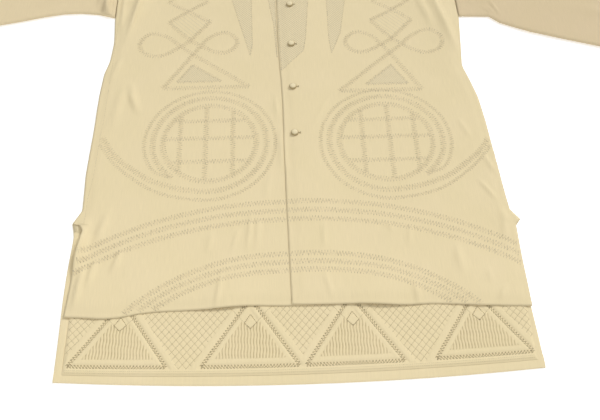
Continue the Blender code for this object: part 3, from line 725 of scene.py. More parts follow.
def panel_sheet(node, name, cell, passes=0, below=None, thickness=0.0):
    """A cloth panel as an even grid over its solid's upper faces, with its four sides. Where the
    height of what is below is given, the panel's rim lies down on it."""
    bm = upper_faces(node)
    solid = BVHTree.FromBMesh(bm)
    sides = outline_sides(bm, PANEL_CORNERS[node])
    bm.free()
    rows = round((sides[3][-1][1] - sides[3][0][1]) / cell)
    columns = round((sides[0][-1][0] - sides[0][0][0]) / cell)
    grid = fill_outline(sides, rows, columns)
    heights = np.empty(grid.shape[:2])
    for place in np.ndindex(heights.shape):
        x, up = grid[place]
        start = Vector((x, along_y(up), RAY_HEIGHT))
        hit = solid.ray_cast(start, Vector((0, 0, -1)))[0] or solid.find_nearest(start)[0]
        heights[place] = hit.z
    heights = soften(heights, passes)
    if below:
        drop = RIM_DROP * (1 - ease(from_rim(rows, columns) * cell / RIM_REACH))
        for place in np.argwhere(drop > 0):
            place = tuple(place)
            lowest = (below(*grid[place]) or 0) + thickness + RIM_GAP
            heights[place] = max(min(heights[place], lowest), heights[place] - drop[place])
    points = np.dstack([grid[..., 0], along_y(grid[..., 1]), heights]).reshape(-1, 3)
    index = np.arange(len(points)).reshape(heights.shape)
    quads = np.stack([index[:-1, :-1], index[:-1, 1:], index[1:, 1:], index[1:, :-1]], axis=-1)
    return mesh_object(points.tolist(), quads.reshape(-1, 4).tolist(), name), sides


def outer_tube(node):
    """The outside of a flat tube: its rims are dropped, then its inside."""
    bm = welded_solid(node)
    rims = [face for face in bm.faces if abs(face.normal.z) < RIM_NORMAL]
    bmesh.ops.delete(bm, geom=rims, context="FACES")
    lowest = min(bm.verts, key=lambda vertex: vertex.co.z)
    outside, front = {lowest}, [lowest]
    while front:
        vertex = front.pop()
        for edge in vertex.link_edges:
            other = edge.other_vert(vertex)
            if other not in outside:
                outside.add(other)
                front.append(other)
    bmesh.ops.delete(bm, geom=[v for v in bm.verts if v not in outside], context="VERTS")
    return bm


def eased_sheet(bm, name, cuts, passes):
    """An object of a coarse open sheet, divided and smoothed."""
    bmesh.ops.subdivide_edges(bm, edges=bm.edges, cuts=cuts, use_grid_fill=True)
    for _ in range(passes):
        bmesh.ops.smooth_vert(bm, verts=bm.verts, factor=0.5, use_axis_z=True)
    return object_from(bm, name)


def crease(obj, folds, looseness, low=None):
    """Raise the folds and the slight unevenness. Below low, the cloth stays as it is."""
    depth = bpy.context.scene.shirt_sizes.fold_depth
    points = coordinates(obj.data)
    x, up = points[:, 0], points[:, 1] + HALF_LENGTH
    rise = depth * (fold_heights(x, up, folds) + loosen(x, up, looseness))
    if low is not None:
        rise *= np.clip((points[:, 2] - low) / SLEEVE_FOLDS_FADE, 0, 1)
    points[:, 2] += rise
    obj.data.vertices.foreach_set("co", points.ravel())
    obj.data.update()


def give_thickness(obj, thickness):
    select_only(obj)
    wall = obj.modifiers.new("Cloth", "SOLIDIFY")
    wall.thickness = thickness
    wall.offset = -1
    wall.use_even_offset = False
    bpy.ops.object.modifier_apply(modifier=wall.name)


def upper_surface(*names):
    """A function that gives the height of the uppermost of these pieces, or None off them."""
    trees = []
    for name in names:
        mesh = bpy.data.objects[name].data
        points = [vertex.co for vertex in mesh.vertices]
        trees.append(BVHTree.FromPolygons(points, [p.vertices for p in mesh.polygons]))

    def height(x, up):
        start = Vector((x, along_y(up), 1))
        hits = [tree.ray_cast(start, Vector((0, 0, -1)))[0] for tree in trees]
        heights = [hit.z for hit in hits if hit]
        return max(heights) if heights else None

    return height


class SHIRT_OT_back(bpy.types.Operator):
    """Make the back, with the folded hems of its tail"""

    bl_idname = "shirt.back"
    bl_label = "Back"

    def execute(self, context):
        back, sides = panel_sheet("back", "back_cloth", BACK_CELL)
        crease(back, BACK_FOLDS, 0.0)
        give_thickness(back, BACK_CLOTH)
        finish_piece(back, shirt_cotton(), ["back"])
        hems = tail_hems(sides)
        finish_piece(hems, shirt_cotton())
        return {"FINISHED"}


def add_strip(bm, path, inward, width, thick):
    """A folded strip of cloth along a path, rounded at its two long edges."""
    rings = []
    for x, up in path:
        rings.append([
            bm.verts.new((
                x + inward[0] * width * across,
                along_y(up) + inward[1] * width * across,
                TAIL_TOP + thick * rise,
            ))
            for across, rise in HEM_SECTION
        ])
    for near, far in zip(rings, rings[1:]):
        for i in range(len(HEM_SECTION) - 1):
            bm.faces.new((near[i], near[i + 1], far[i + 1], far[i]))


def tail_hems(sides):
    """The turned-up hem of the tail and the narrow hems of its two sides."""
    hem, right, _, left = sides
    bm = bmesh.new()
    add_strip(bm, evenly(hem, HEM_STEPS), (0, 1), HEM_STRIP, HEM_RAISE)
    for edge, inward in ((left, (1, 0)), (right, (-1, 0))):
        slit = edge[edge[:, 1] < VENT_TOP]
        add_strip(bm, evenly(slit, SIDE_HEM_STEPS), inward, SIDE_HEM, SIDE_HEM_RAISE)
    bmesh.ops.recalc_face_normals(bm, faces=bm.faces)
    for face in bm.faces:
        if face.normal.z < 0:
            face.normal_flip()
    return object_from(bm, "tail_hems")


class SHIRT_OT_fronts(bpy.types.Operator):
    """Make the two fronts, creased as they lie"""

    bl_idname = "shirt.fronts"
    bl_label = "Fronts"

    def execute(self, context):
        thickness = context.scene.shirt_sizes.cloth
        cuts = {"front_right": ((0.345, 0.900), 0.246), "front_left": ((0.365, 0.900), 0.262)}
        under = ["back_cloth", "tail_hems", "tail_band_cloth"]
        for node, (flat, area) in cuts.items():
            below = upper_surface(*under)
            front, _ = panel_sheet(
                node, f"{node}_cloth", FRONT_CELL, FRONT_PASSES, below, thickness
            )
            under.append(front.name)
            crease(front, FRONT_FOLDS, LOOSENESS)
            give_thickness(front, thickness)
            finish_piece(front, shirt_cotton(), [node])
        return {"FINISHED"}


class SHIRT_OT_sleeves(bpy.types.Operator):
    """Make the two sleeves, each a flat tube of cloth with an open cuff"""

    bl_idname = "shirt.sleeves"
    bl_label = "Sleeves"

    def execute(self, context):
        thickness = context.scene.shirt_sizes.cloth
        for node in ("sleeve_right", "sleeve_left"):
            sleeve = eased_sheet(outer_tube(node), f"{node}_cloth", cuts=6, passes=8)
            crease(sleeve, SLEEVE_FOLDS, LOOSENESS, low=SLEEVE_FOLDS_ABOVE)
            give_thickness(sleeve, thickness)
            finish_piece(sleeve, shaded_sleeve_cotton(node), [node])
        return {"FINISHED"}


class SHIRT_OT_neckband(bpy.types.Operator):
    """Make the narrow neckband"""

    bl_idname = "shirt.neckband"
    bl_label = "Neckband"

    def execute(self, context):
        band = eased_sheet(upper_faces("neckband"), "neckband_cloth", cuts=3, passes=2)
        give_thickness(band, context.scene.shirt_sizes.cloth)
        finish_piece(band, shirt_cotton(), ["neckband"])
        return {"FINISHED"}


# Quilted and ribbed band inside the tail.


def roll(t):
    """A strip's rounded section, 0 at its two edges and 1 across its middle."""
    return np.sqrt(np.clip(1 - (2 * t - 1) ** 4, 0, 1))


def tent(x, up):
    """The nearest triangle's middle, and how deep a point lies inside its sloping sides."""
    centres = np.array(TRIANGLE_CENTRES)
    near = centres[np.argmin(np.abs(np.asarray(x)[..., None] - centres), axis=-1)]
    depth = ((TRIANGLE_APEX - up) - SIDE_SLOPE * np.abs(x - near)) / math.hypot(1, SIDE_SLOPE)
    return near, depth


def band_bow(x, up):
    """How far the band bows down, less and less towards its top edge."""
    fade = np.clip(1 - (up - BAND_LOW) / BAND_BOW_FADE, 0, 1)
    return BAND_BOW * (1 - (x / BAND_BOW_HALF) ** 2) * fade


def bowed(point):
    """A place on a straight band, moved to where the bowed one has it."""
    x, up = point
    return np.array((x, up - band_bow(x, up)))


def quilt_lines(x, up):
    """Place across the two sets of slanting lines, a whole number on each line."""
    step = QUILT_SLOPE * QUILT_PITCH
    return (x * QUILT_SLOPE + up) / step, (x * QUILT_SLOPE - up) / step


def band_relief(x, up):
    """Height of the band's pattern over its flat cloth, and how much painted shade its lines and
    grooves get.
    """
    near, depth = tent(x, up)
    low = up - TRIANGLE_BASE
    outside = (low < -BAND_ZIGZAG) | (up > BAND_HIGH - TOP_MARGIN)
    quilted = ~outside & (depth < -BAND_ZIGZAG - EDGE_STRIP)
    strip = ~outside & ~quilted & (depth < -BAND_ZIGZAG)
    zigzag = ~outside & ~quilted & ~strip & ((depth < 0) | (low < 0))
    inside = ~(outside | quilted | strip | zigzag)
    side_frame = inside & (depth < FRAME_WIDTH)
    foot = inside & ~side_frame & (low < FRAME_FOOT)
    ribs = inside & ~side_frame & ~foot
    notch = ribs & (up - NOTCH_UP > np.abs(x - near) * NOTCH_SLOPE)
    half_width, half_height = LOZENGE_HALF
    lozenge = np.abs(x - near) / half_width + np.abs(up - NOTCH_UP - LOZENGE_RISE) / half_height
    a, b = quilt_lines(x, up)
    puff = np.sqrt(np.abs(np.sin(math.pi * a) * np.sin(math.pi * b)))
    wave = RIB_WAVE * np.sin(2 * math.pi * (up / RIB_WAVE_LENGTH + x / RIB_WAVE_LEAN))
    rib = np.abs(np.sin(math.pi * (x + wave - near) / RIB_PITCH)) ** RIB_ROUNDNESS
    border = (up - BAND_LOW) / (TRIANGLE_BASE - BAND_ZIGZAG - BAND_LOW)
    relief = np.select(
        [quilted, strip, side_frame, foot, notch, ribs, outside & (border < 1)],
        [
            QUILT_HEIGHT * puff,
            STRIP_HEIGHT * roll((-depth - BAND_ZIGZAG) / EDGE_STRIP),
            STRIP_HEIGHT * roll(depth / FRAME_WIDTH),
            STRIP_HEIGHT * roll(low / FRAME_FOOT),
            np.where(lozenge < 1, RIB_HEIGHT, NOTCH_HEIGHT),
            RIB_HEIGHT * rib,
            STRIP_HEIGHT * BORDER_SHARE * roll(np.clip(border, 0, 1)),
        ],
        0.0,
    )
    nearest_line = np.minimum(np.abs(a - np.round(a)), np.abs(b - np.round(b)))
    # Painted shade along the lattice's lines and in the grooves between the ribs.
    groove = np.select(
        [quilted, ribs & ~notch],
        [
            np.clip(1 - nearest_line / QUILT_LINE, 0, 1) * QUILT_LINE_SHADE,
            np.clip(RIB_SHADE_START - rib * RIB_SHADE_FALL, 0, 1) * RIB_SHADE,
        ],
        0.0,
    )
    return relief, groove


class SHIRT_OT_tail_band(bpy.types.Operator):
    """Make the quilted and ribbed band on the inside of the tail"""

    bl_idname = "shirt.tail_band"
    bl_label = "Tail band"

    def execute(self, context):
        bm = bmesh.new()
        bmesh.ops.create_grid(bm, x_segments=BAND_COLUMNS, y_segments=BAND_ROWS, size=0.5)
        bm.verts.ensure_lookup_table()
        x = np.array([BAND_LEFT + (v.co.x + 0.5) * (BAND_RIGHT - BAND_LEFT) for v in bm.verts])
        up = np.array([BAND_LOW + (v.co.y + 0.5) * (BAND_HIGH - BAND_LOW) for v in bm.verts])
        relief, groove = band_relief(x, up)
        inset = np.minimum(np.minimum(x - BAND_LEFT, BAND_RIGHT - x), up - BAND_LOW)
        rim = ease(inset / BAND_RIM)
        for vertex, a, b, height in zip(bm.verts, x, up, rim * (BAND_TOP - BAND_FLOOR + relief)):
            vertex.co = (a, along_y(b - band_bow(a, b)), BAND_FLOOR + BAND_HEM + height)
        border = [edge for edge in bm.edges if edge.is_boundary]
        lowered = bmesh.ops.extrude_edge_only(bm, edges=border)["geom"]
        for vertex in lowered:
            if isinstance(vertex, bmesh.types.BMVert):
                vertex.co.z = BAND_FLOOR
        bmesh.ops.holes_fill(bm, edges=[e for e in bm.edges if e.is_boundary], sides=0)
        bmesh.ops.recalc_face_normals(bm, faces=bm.faces)
        band = object_from(bm, "tail_band_cloth")
        # The painted shade of the lines and grooves, kept on the band's points.
        painted_shade_layer = band.data.attributes.new("groove", "FLOAT", "POINT")
        shade = np.zeros(len(band.data.vertices))
        shade[:len(groove)] = groove
        painted_shade_layer.data.foreach_set("value", shade)
        finish_piece(band, band_cotton(), ["tail_band"])
        return {"FINISHED"}


# Threads.


def new_threads():
    return {"points": [], "faces": []}


def add_thread(threads, points, width, height):
    """A half-round thread through points that already lie on the cloth."""
    start = len(threads["points"])
    last = len(points) - 1
    for i, point in enumerate(points):
        ahead = points[min(i + 1, last)] - points[max(i - 1, 0)]
        across = Vector((-ahead.y, ahead.x, 0)).normalized() * width / 2
        sink = Vector((0, 0, height * END_SINK if i in (0, last) else 0.0))
        threads["points"] += [
            point - across - sink * SIDE_SINK,
            point + Vector((0, 0, height)) - sink,
            point + across - sink * SIDE_SINK,
        ]
    for i in range(last):
        a = start + 3 * i
        threads["faces"] += [(a, a + 3, a + 4, a + 1), (a + 1, a + 4, a + 5, a + 2)]


def finish_threads(threads, name, material):
    finish_piece(mesh_object(threads["points"], threads["faces"], name), material)


def curve_through(points, steps=12):
    """A smooth curve through a few points."""
    points = [np.array(p, float) for p in points]
    ends = [2 * points[0] - points[1], *points, 2 * points[-1] - points[-2]]
    curve = []
    for p0, p1, p2, p3 in zip(ends, ends[1:], ends[2:], ends[3:]):
        for i in range(steps):
            t = i / steps
            curve.append(0.5 * (
                2 * p1 + (p2 - p0) * t + (2 * p0 - 5 * p1 + 4 * p2 - p3) * t**2
                + (3 * p1 - p0 - 3 * p2 + p3) * t**3
            ))
    return [*curve, points[-1]]


def lay_stitch(threads, surface, a, b, sections, width, height):
    """Lay a thread on the cloth from a to b, or none where it would leave the cloth."""
    points = []
    for i in range(sections + 1):
        x, up = a + (b - a) * i / sections
        z = surface(float(x), float(up))
        if z is None:
            return
        points.append(Vector((x, along_y(up), z)))
    add_thread(threads, points, width, height)


def unmoved(point):
    return point


def zigzag(threads, surface, path, width, allowed, place=unmoved):
    """Lay a zigzag along a path, as straight stitches from one side of it to the other. The real
    stitches are finer. They are drawn 4.1 mm apart so that they show."""
    sizes = bpy.context.scene.shirt_sizes
    middle = resample(path, sizes.stitch_pitch / 2)
    if len(middle) < 3:
        return
    ahead = np.gradient(middle, axis=0)
    ahead /= np.maximum(np.hypot(*ahead.T), 1e-9)[:, None]
    beside = np.column_stack([-ahead[:, 1], ahead[:, 0]])
    reach = (width - sizes.thread) / 2
    signs = np.where(np.arange(len(middle)) % 2, reach, -reach)
    corners = middle + beside * signs[:, None]
    for a, b in zip(corners, corners[1:]):
        if allowed(*((a + b) / 2)):
            lay_stitch(
                threads, surface, place(a), place(b), 2, sizes.thread, sizes.thread * ZIGZAG_HEIGHT
            )


def anywhere(x, up):
    return True


def running_stitch(threads, surface, path, stitch, allowed=anywhere, place=unmoved):
    """Lay short straight stitches along a path."""
    middle = resample(path, stitch.length)
    for a, b in zip(middle, middle[1:]):
        if allowed(*((a + b) / 2)):
            end = b - (b - a) * stitch.gap
            height = stitch.width * STITCH_HEIGHT
            lay_stitch(threads, surface, place(a), place(end), 2, stitch.width, height)


def inside_outline(outline, angle, spacing):
    """Parallel lines that fill an outline, as pairs of ends."""
    turn = np.array([[math.cos(angle), math.sin(angle)], [-math.sin(angle), math.cos(angle)]])
    corners = np.array(outline) @ turn.T
    lines = []
    level = corners[:, 1].min() + spacing / 2
    while level < corners[:, 1].max():
        crossings = []
        for (x1, y1), (x2, y2) in zip(corners, np.roll(corners, -1, axis=0)):
            if (y1 - level) * (y2 - level) < 0:
                crossings.append(x1 + (x2 - x1) * (level - y1) / (y2 - y1))
        crossings.sort()
        for a, b in zip(crossings[::2], crossings[1::2]):
            lines.append((np.array((a, level)) @ turn, np.array((b, level)) @ turn))
        level += spacing
    return lines


def hatch(threads, surface, outline, kind, allowed):
    """Fill an outline with parallel threads."""
    for a, b in inside_outline(outline, HATCH_ANGLE, kind.spacing):
        middle = resample([a, b], HATCH_STEP)
        for near, far in zip(middle, middle[1:]):
            if allowed(*((near + far) / 2)):
                height = kind.thread * STITCH_HEIGHT
                lay_stitch(threads, surface, near, far, 1, kind.thread, height)


# Embroidery on the fronts.


def medallion_strokes(motif):
    """A medallion's rings and bars, and its double tail to the side seam."""

    def place(out, rise):
        return motif.x + motif.out * out, motif.up + rise

    def ring_point(radius, degrees):
        turn = math.radians(degrees)
        return place(radius * math.cos(turn), RING_STRETCH * radius * math.sin(turn))

    strokes = [([ring_point(INNER_RING, d) for d in range(0, 361, INNER_RING_STEP)], INNER_RING_WIDTH)]
    for width, turn, tail in RINGS:
        degrees, radii = zip(*turn)
        steps = np.linspace(degrees[0], degrees[-1], round((degrees[-1] - degrees[0]) / RING_STEP))
        path = [ring_point(np.interp(step, degrees, radii), step) for step in steps]
        path += [place(*point) for point in tail]
        strokes.append((curve_through(path), width))
    for out in BAR_OUTS:
        reach = math.sqrt(BAR_REACH**2 - out**2) * RING_STRETCH
        strokes.append(([place(out, -reach), place(out, reach)], BAR_WIDTH))
    for rise in BAR_RISES:
        reach = math.sqrt(BAR_REACH**2 - rise**2)
        strokes.append(([place(-reach, rise), place(reach, rise)], BAR_WIDTH))
    return strokes


def triangle_corners(motif, scale):
    """The corners of the triangle over a medallion, shrunk towards a place inside it."""
    corners = []
    for out, rise in (
        (motif.base_in, motif.base_up), (motif.base_out, motif.base_up), (motif.apex, motif.apex_up)
    ):
        middle = (motif.apex, motif.base_up + INNER_TRIANGLE_RISE)
        corners.append((
            motif.x + motif.out * (middle[0] + scale * (out - middle[0])),
            motif.up + middle[1] + scale * (rise - middle[1]),
        ))
    return corners


def triangle_strokes(motif, line_width):
    strokes = []
    for scale, width in ((1.0, line_width), (INNER_TRIANGLE, line_width * INNER_TRIANGLE_LINE)):
        corners = triangle_corners(motif, scale)
        for a, b in zip(corners, corners[1:] + corners[:1]):
            strokes.append(([a, b], width))
    return strokes


def knot_place(motif, out, rise):
    return motif.x + motif.out * (motif.apex + out), motif.up + motif.apex_up + rise


def knot_strands(motif):
    """The two strands that loop out from a triangle's apex."""
    outer = [knot_place(motif, point.outer, point.outer_rise) for point in KNOT]
    inner = [knot_place(motif, point.inner, point.inner_rise) for point in KNOT]
    return outer, inner


def knot_strokes(motif, line_width):
    """A knot's two strands, and the two diamonds over them."""
    outer, inner = knot_strands(motif)
    top = knot_place(motif, *DIAMOND_TOP)
    left, right, peak = (knot_place(motif, *point) for point in SECOND_DIAMOND)
    strokes = [(curve_through(outer), line_width), (curve_through(inner), line_width)]
    for a, b in (
        (outer[0], top), (inner[0], top), (top, left), (top, right), (left, peak), (right, peak)
    ):
        strokes.append(([a, b], line_width))
    return strokes


def arc_strokes(line_width):
    strokes = []
    for arc in ARCS:
        for line in range(ARC_LINES):
            xs = np.linspace(-ARC_REACH, ARC_REACH, ARC_STEPS + 1)
            drop = arc.drop * (np.abs(xs - arc.middle) / arc.reach) ** arc.power
            ups = arc.top - arc.spacing * line - drop
            strokes.append((list(zip(xs, ups)), line_width))
    return strokes


def all_strokes():
    width = bpy.context.scene.shirt_sizes.line_width
    strokes = arc_strokes(width)
    for motif in MOTIFS:
        strokes += medallion_strokes(motif)
        strokes += triangle_strokes(motif, width)
        strokes += knot_strokes(motif, width)
    for outline in KNIVES:
        for a, b in zip(outline, outline[1:] + outline[:1]):
            strokes.append(([a, b], KNIFE_LINE))
    return strokes


def hatched_patches():
    """The outlines filled with parallel threads, each with its kind of filling."""
    patches = [(outline, KNIFE_HATCH) for outline in KNIVES]
    for motif in MOTIFS:
        patches.append((triangle_corners(motif, INNER_TRIANGLE), TRIANGLE_HATCH))
        outer, inner = knot_strands(motif)
        diamond = [outer[1], outer[0], knot_place(motif, *DIAMOND_TOP), inner[0]]
        patches.append((diamond, DIAMOND_HATCH))
    return patches


class SHIRT_OT_embroidery(bpy.types.Operator):
    """Lay the zigzag lines and the hatched patches on the two fronts"""

    bl_idname = "shirt.embroidery"
    bl_label = "Embroidery"

    def execute(self, context):
        strokes = all_strokes()
        for side, name in ((-1, "front_right"), (1, "front_left")):
            surface = upper_surface(f"{name}_cloth")

            def on_this_front(x, up):
                return (x - placket_x(up)) * side > PLACKET_CLEARANCE

            lines, filling = new_threads(), new_threads()
            for path, width in strokes:
                zigzag(lines, surface, path, width, on_this_front)
            for outline, kind in hatched_patches():
                hatch(filling, surface, outline, kind, on_this_front)
            finish_threads(lines, f"{name}_embroidery", pale_thread())
            finish_threads(filling, f"{name}_filling", filling_thread())
        return {"FINISHED"}


def on_quilting(x, up):
    depth = tent(np.array([x]), np.array([up]))[1][0]
    return depth < -BAND_ZIGZAG - EDGE_STRIP and up > TRIANGLE_BASE - BAND_ZIGZAG


def stitch_triangle(zigzags, surface, centre):
    """The zigzag round a triangle of the band, with a row of long stitches on each side of it."""
    half = BAND_ZIGZAG / 2
    apex = (centre, TRIANGLE_APEX + half * math.hypot(1, SIDE_SLOPE))
    drop = apex[1] - TRIANGLE_BASE + half
    left = (centre - drop / SIDE_SLOPE, TRIANGLE_BASE - half)
    right = (centre + drop / SIDE_SLOPE, TRIANGLE_BASE - half)
    for a, b in ((left, apex), (apex, right), (left, right)):
        a, b = np.array(a), np.array(b)
        zigzag(zigzags, surface, [a, b], BAND_ZIGZAG * BAND_ZIGZAG_FILL, anywhere, bowed)
        beside = np.array((a[1] - b[1], b[0] - a[0])) / math.dist(a, b)
        for row in (-ROW_APART / 2, ROW_APART / 2):
            line = [a + beside * row, b + beside * row]
            running_stitch(zigzags, surface, line, ROW_STITCH, place=bowed)


def stitch_notch(zigzags, quilting, surface, centre):
    """The stitches along the two edges of a triangle's notch, and round the lozenge in it."""
    half_width, half_height = LOZENGE_HALF
    middle = NOTCH_UP + LOZENGE_RISE
    for side in (-1, 1):
        end = (centre + side * NOTCH_REACH, NOTCH_UP + NOTCH_REACH * NOTCH_SLOPE)
        running_stitch(quilting, surface, [(centre, NOTCH_UP), end], NOTCH_STITCH, place=bowed)
        lozenge = [
            (centre, middle - half_height),
            (centre + side * half_width, middle),
            (centre, middle + LOZENGE_PEAK * half_height),
        ]
        running_stitch(zigzags, surface, lozenge, LOZENGE_STITCH, place=bowed)


def stitch_lattice(quilting, surface):
    """The two sets of slanting quilting lines."""
    count = int((BAND_RIGHT - BAND_LEFT + BAND_HIGH) / QUILT_PITCH)
    step = QUILT_SLOPE * QUILT_PITCH
    for side in (-1, 1):
        for line in range(-count, count + 1):
            xs = (line * step - side * np.array([BAND_LOW, BAND_HIGH])) / QUILT_SLOPE
            path = list(zip(xs, (BAND_LOW, BAND_HIGH)))
            running_stitch(quilting, surface, path, QUILT_STITCH, on_quilting, bowed)


class SHIRT_OT_band_stitching(bpy.types.Operator):
    """Lay the zigzags and the quilting stitches on the tail band"""

    bl_idname = "shirt.band_stitching"
    bl_label = "Band stitching"

    def execute(self, context):
        surface = upper_surface("tail_band_cloth")
        zigzags, quilting = new_threads(), new_threads()
        for centre in TRIANGLE_CENTRES:
            stitch_triangle(zigzags, surface, centre)
            stitch_notch(zigzags, quilting, surface, centre)
        stitch_lattice(quilting, surface)
        for rise in BORDER_ROWS:
            path = [(x, BAND_LOW + rise) for x in (BAND_LEFT + BORDER_INSET, BAND_RIGHT - BORDER_INSET)]
            running_stitch(quilting, surface, path, BORDER_STITCH, place=bowed)
        finish_threads(zigzags, "band_zigzags", dark_thread())
        finish_threads(quilting, "band_quilting_stitches", dark_thread())
        return {"FINISHED"}


class SHIRT_OT_seams(bpy.types.Operator):
    """Lay the side seam's stitches and those of the neckband and cuffs"""

    bl_idname = "shirt.seams"
    bl_label = "Seams"

    def execute(self, context):
        threads = new_threads()
        front = upper_surface("front_right_cloth")
        running_stitch(threads, front, [(point.x, point.up) for point in SIDE_SEAM], SEAM_STITCH)
        neck = upper_surface("neckband_cloth")
        for inset in NECK_SEAMS:
            ring = []
            for degrees in NECK_TURN:
                turn = math.radians(degrees)
                half = NECK_HALF - inset
                depth = (NECK_FRONT if math.sin(turn) < 0 else NECK_BACK) - inset
                ring.append((half * math.cos(turn), NECK_MIDDLE + depth * math.sin(turn)))
            running_stitch(threads, neck, ring, SEAM_STITCH)
        for side, name in ((-1, "sleeve_right"), (1, "sleeve_left")):
            surface = upper_surface(f"{name}_cloth")
            running_stitch(threads, surface, CUFFS[name], SEAM_STITCH)
            armhole = [(side * ARMHOLE_X, up) for up in ARMHOLE_UPS]
            running_stitch(threads, surface, armhole, SEAM_STITCH)
        finish_threads(threads, "seam_stitches", pale_thread())
        return {"FINISHED"}


# Buttons.


class SHIRT_OT_buttons(bpy.types.Operator):
    """Turn the covered buttons and work their buttonholes"""

    bl_idname = "shirt.buttons"
    bl_label = "Buttons"

    def execute(self, context):
        sizes = context.scene.shirt_sizes
        front = upper_surface("front_left_cloth")
        holes = new_threads()
        for number in range(1, BUTTON_COUNT + 1):
            up = BUTTON_FIRST_UP + (number - 1) * BUTTON_SPACING
            low = front(BUTTON_X, up)
            if low is None:
                raise RuntimeError(f"button {number} has no cloth under it")
            button = cover_button(f"button_{number}_cover", up, low, sizes.button / 2)
            finish_piece(button, button_cotton(), [f"button_{number}"])
            work_buttonhole(holes, front, up)
        # The buttonholes' brown thread is partly painted shade of their open slits.
        finish_threads(holes, "buttonholes", dark_thread())
        return {"FINISHED"}


def cover_button(name, up, low, radius):
    """A domed button: a flattened ball, cut flat below, with painted shade round its rim."""
    bpy.ops.object.select_all(action="DESELECT")
    place = (BUTTON_X, along_y(up), low + radius * BUTTON_RISE)
    bpy.ops.mesh.primitive_uv_sphere_add(segments=32, ring_count=18, radius=radius, location=place)
    made = bpy.context.object
    made.name = name
    bpy.ops.object.mode_set(mode="EDIT")
    bpy.ops.mesh.select_all(action="SELECT")
    bpy.ops.transform.resize(value=(1, 1, BUTTON_DOME))
    bpy.ops.mesh.bisect(
        plane_co=(0, 0, low - BUTTON_SINK), plane_no=(0, 0, 1), clear_inner=True, use_fill=True
    )
    bpy.ops.object.mode_set(mode="OBJECT")
    bpy.ops.object.transform_apply(location=True, rotation=True, scale=True)
    bpy.ops.object.shade_smooth_by_angle(angle=math.radians(50))
    # Painted shade round the rim, where the dome turns away from the light.
    from_middle = coordinates(made.data)[:, :2] - np.array((BUTTON_X, along_y(up)))
    reach = np.linalg.norm(from_middle, axis=1) / radius
    painted_shade_layer = made.data.attributes.new("groove", "FLOAT", "POINT")
    painted_shade_layer.data.foreach_set("value", RIM_SHADE * ease((reach - RIM_START) / RIM_SHARE))
    return made


def work_buttonhole(threads, surface, up):
    """Close stitches along both sides of a slit, and a bar at its far end, in the brown band thread:
    real stitching, darkened as painted shade of the open slit.
    """
    start = BUTTON_X - BUTTONHOLE * BUTTONHOLE_BEFORE
    for i in range(int(BUTTONHOLE / HOLE_STITCH)):
        x = start + i * HOLE_STITCH
        for side in (-1, 1):
            a, b = (np.array((x, up + side * reach)) for reach in (HOLE_HALF, HOLE_STITCH_END))
            lay_stitch(threads, surface, a, b, 1, *HOLE_THREAD)
    end = start + BUTTONHOLE
    for i in range(END_BARS):
        reach = END_BAR_REACH - END_BAR_LESS * i
        a, b = (np.array((end - END_BAR_STEP * i, up + side * reach)) for side in (-1, 1))
        lay_stitch(threads, surface, a, b, 2, *BAR_THREAD)


# Stage.


class SHIRT_OT_stage(bpy.types.Operator):
    """Set the plain floor, the soft light and the camera"""

    bl_idname = "shirt.stage"
    bl_label = "Stage"

    def execute(self, context):
        scene = context.scene
        bpy.ops.object.select_all(action="DESELECT")
        bpy.ops.mesh.primitive_plane_add(size=12, location=(0, 0, FLOOR_LEVEL))
        floor = context.object
        floor.name = "floor"
        white = bpy.data.materials.new("White painted board")
        white.use_nodes = True
        set_inputs(white.node_tree, white.node_tree.nodes["Principled BSDF"], {
            "Base Color": (*colour_of("floor"), 1), "Roughness": 0.9,
            "Emission Color": (1, 1, 1, 1), "Emission Strength": FLOOR_GLOW,
        })
        floor.data.materials.append(white)
        scene.world = bpy.data.worlds.new("Studio")
        scene.world.use_nodes = True
        sky = scene.world.node_tree
        set_inputs(sky, sky.nodes["Background"], {"Color": (1, 1, 1, 1), "Strength": SKY_STRENGTH})
        add_sun("Key", KEY_FROM, KEY_STRENGTH, KEY_SOFTNESS)
        add_sun("Fill", FILL_FROM, FILL_STRENGTH, FILL_SOFTNESS)
        add_hem_lamp()
        scene.view_settings.view_transform = "Standard"
        camera = add_object("Camera", bpy.data.cameras.new("Camera"))
        camera.location = CAMERA_PLACE
        camera.rotation_euler = (CAMERA_TILT, 0, CAMERA_TURN)
        camera.data.lens = CAMERA_LENS
        camera.data.sensor_width = 36
        camera.data.clip_start = 0.01
        scene.camera = camera
        return {"FINISHED"}


def add_sun(name, place, strength, softness):
    light = bpy.data.lights.new(name, "SUN")
    light.energy = strength
    light.angle = math.radians(softness)
    add_object(name, light).rotation_euler = Vector(place).to_track_quat("Z", "Y").to_euler()


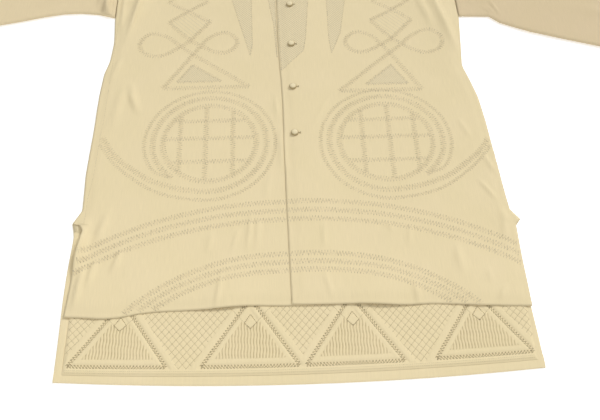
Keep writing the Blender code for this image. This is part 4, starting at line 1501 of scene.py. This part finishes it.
def add_hem_lamp():
    """A wide soft lamp in front of the hem, so that the light falls off towards the neck."""
    light = bpy.data.lights.new("Hem lamp", "AREA")
    light.energy = HEM_LAMP_POWER
    light.size = HEM_LAMP_SIZE
    made = add_object("Hem lamp", light)
    made.location = HEM_LAMP_PLACE
    aim = Vector((0, along_y(HEM_LAMP_AIM_UP), 0)) - made.location
    made.rotation_euler = aim.to_track_quat("-Z", "Y").to_euler()


class SHIRT_PT_panel(bpy.types.Panel):
    """Buttons for each step, and the sizes and colours that they read"""

    bl_idname = "SHIRT_PT_panel"
    bl_label = "Embroidered shirt"
    bl_space_type = "VIEW_3D"
    bl_region_type = "UI"
    bl_category = "Shirt"

    def draw(self, context):
        layout = self.layout
        for group in (context.scene.shirt_sizes, context.scene.shirt_colours):
            for name in group.__annotations__:
                layout.prop(group, name)
        for step in STEPS:
            layout.operator(step.bl_idname)


STEPS = (
    SHIRT_OT_back,
    SHIRT_OT_tail_band,
    SHIRT_OT_fronts,
    SHIRT_OT_sleeves,
    SHIRT_OT_neckband,
    SHIRT_OT_embroidery,
    SHIRT_OT_band_stitching,
    SHIRT_OT_seams,
    SHIRT_OT_buttons,
    SHIRT_OT_stage,
)
CLASSES = (ShirtSizes, ShirtColours, *STEPS, SHIRT_PT_panel)


def register():
    for cls in CLASSES:
        bpy.utils.register_class(cls)
    bpy.types.Scene.shirt_sizes = bpy.props.PointerProperty(type=ShirtSizes)
    bpy.types.Scene.shirt_colours = bpy.props.PointerProperty(type=ShirtColours)


def unregister():
    del bpy.types.Scene.shirt_colours
    del bpy.types.Scene.shirt_sizes
    for cls in reversed(CLASSES):
        bpy.utils.unregister_class(cls)


def main():
    register()
    bpy.ops.shirt.back()
    bpy.ops.shirt.tail_band()
    bpy.ops.shirt.fronts()
    bpy.ops.shirt.sleeves()
    bpy.ops.shirt.neckband()
    bpy.ops.shirt.embroidery()
    bpy.ops.shirt.band_stitching()
    bpy.ops.shirt.seams()
    bpy.ops.shirt.buttons()
    bpy.ops.shirt.stage()


if __name__ == "__main__":
    main()
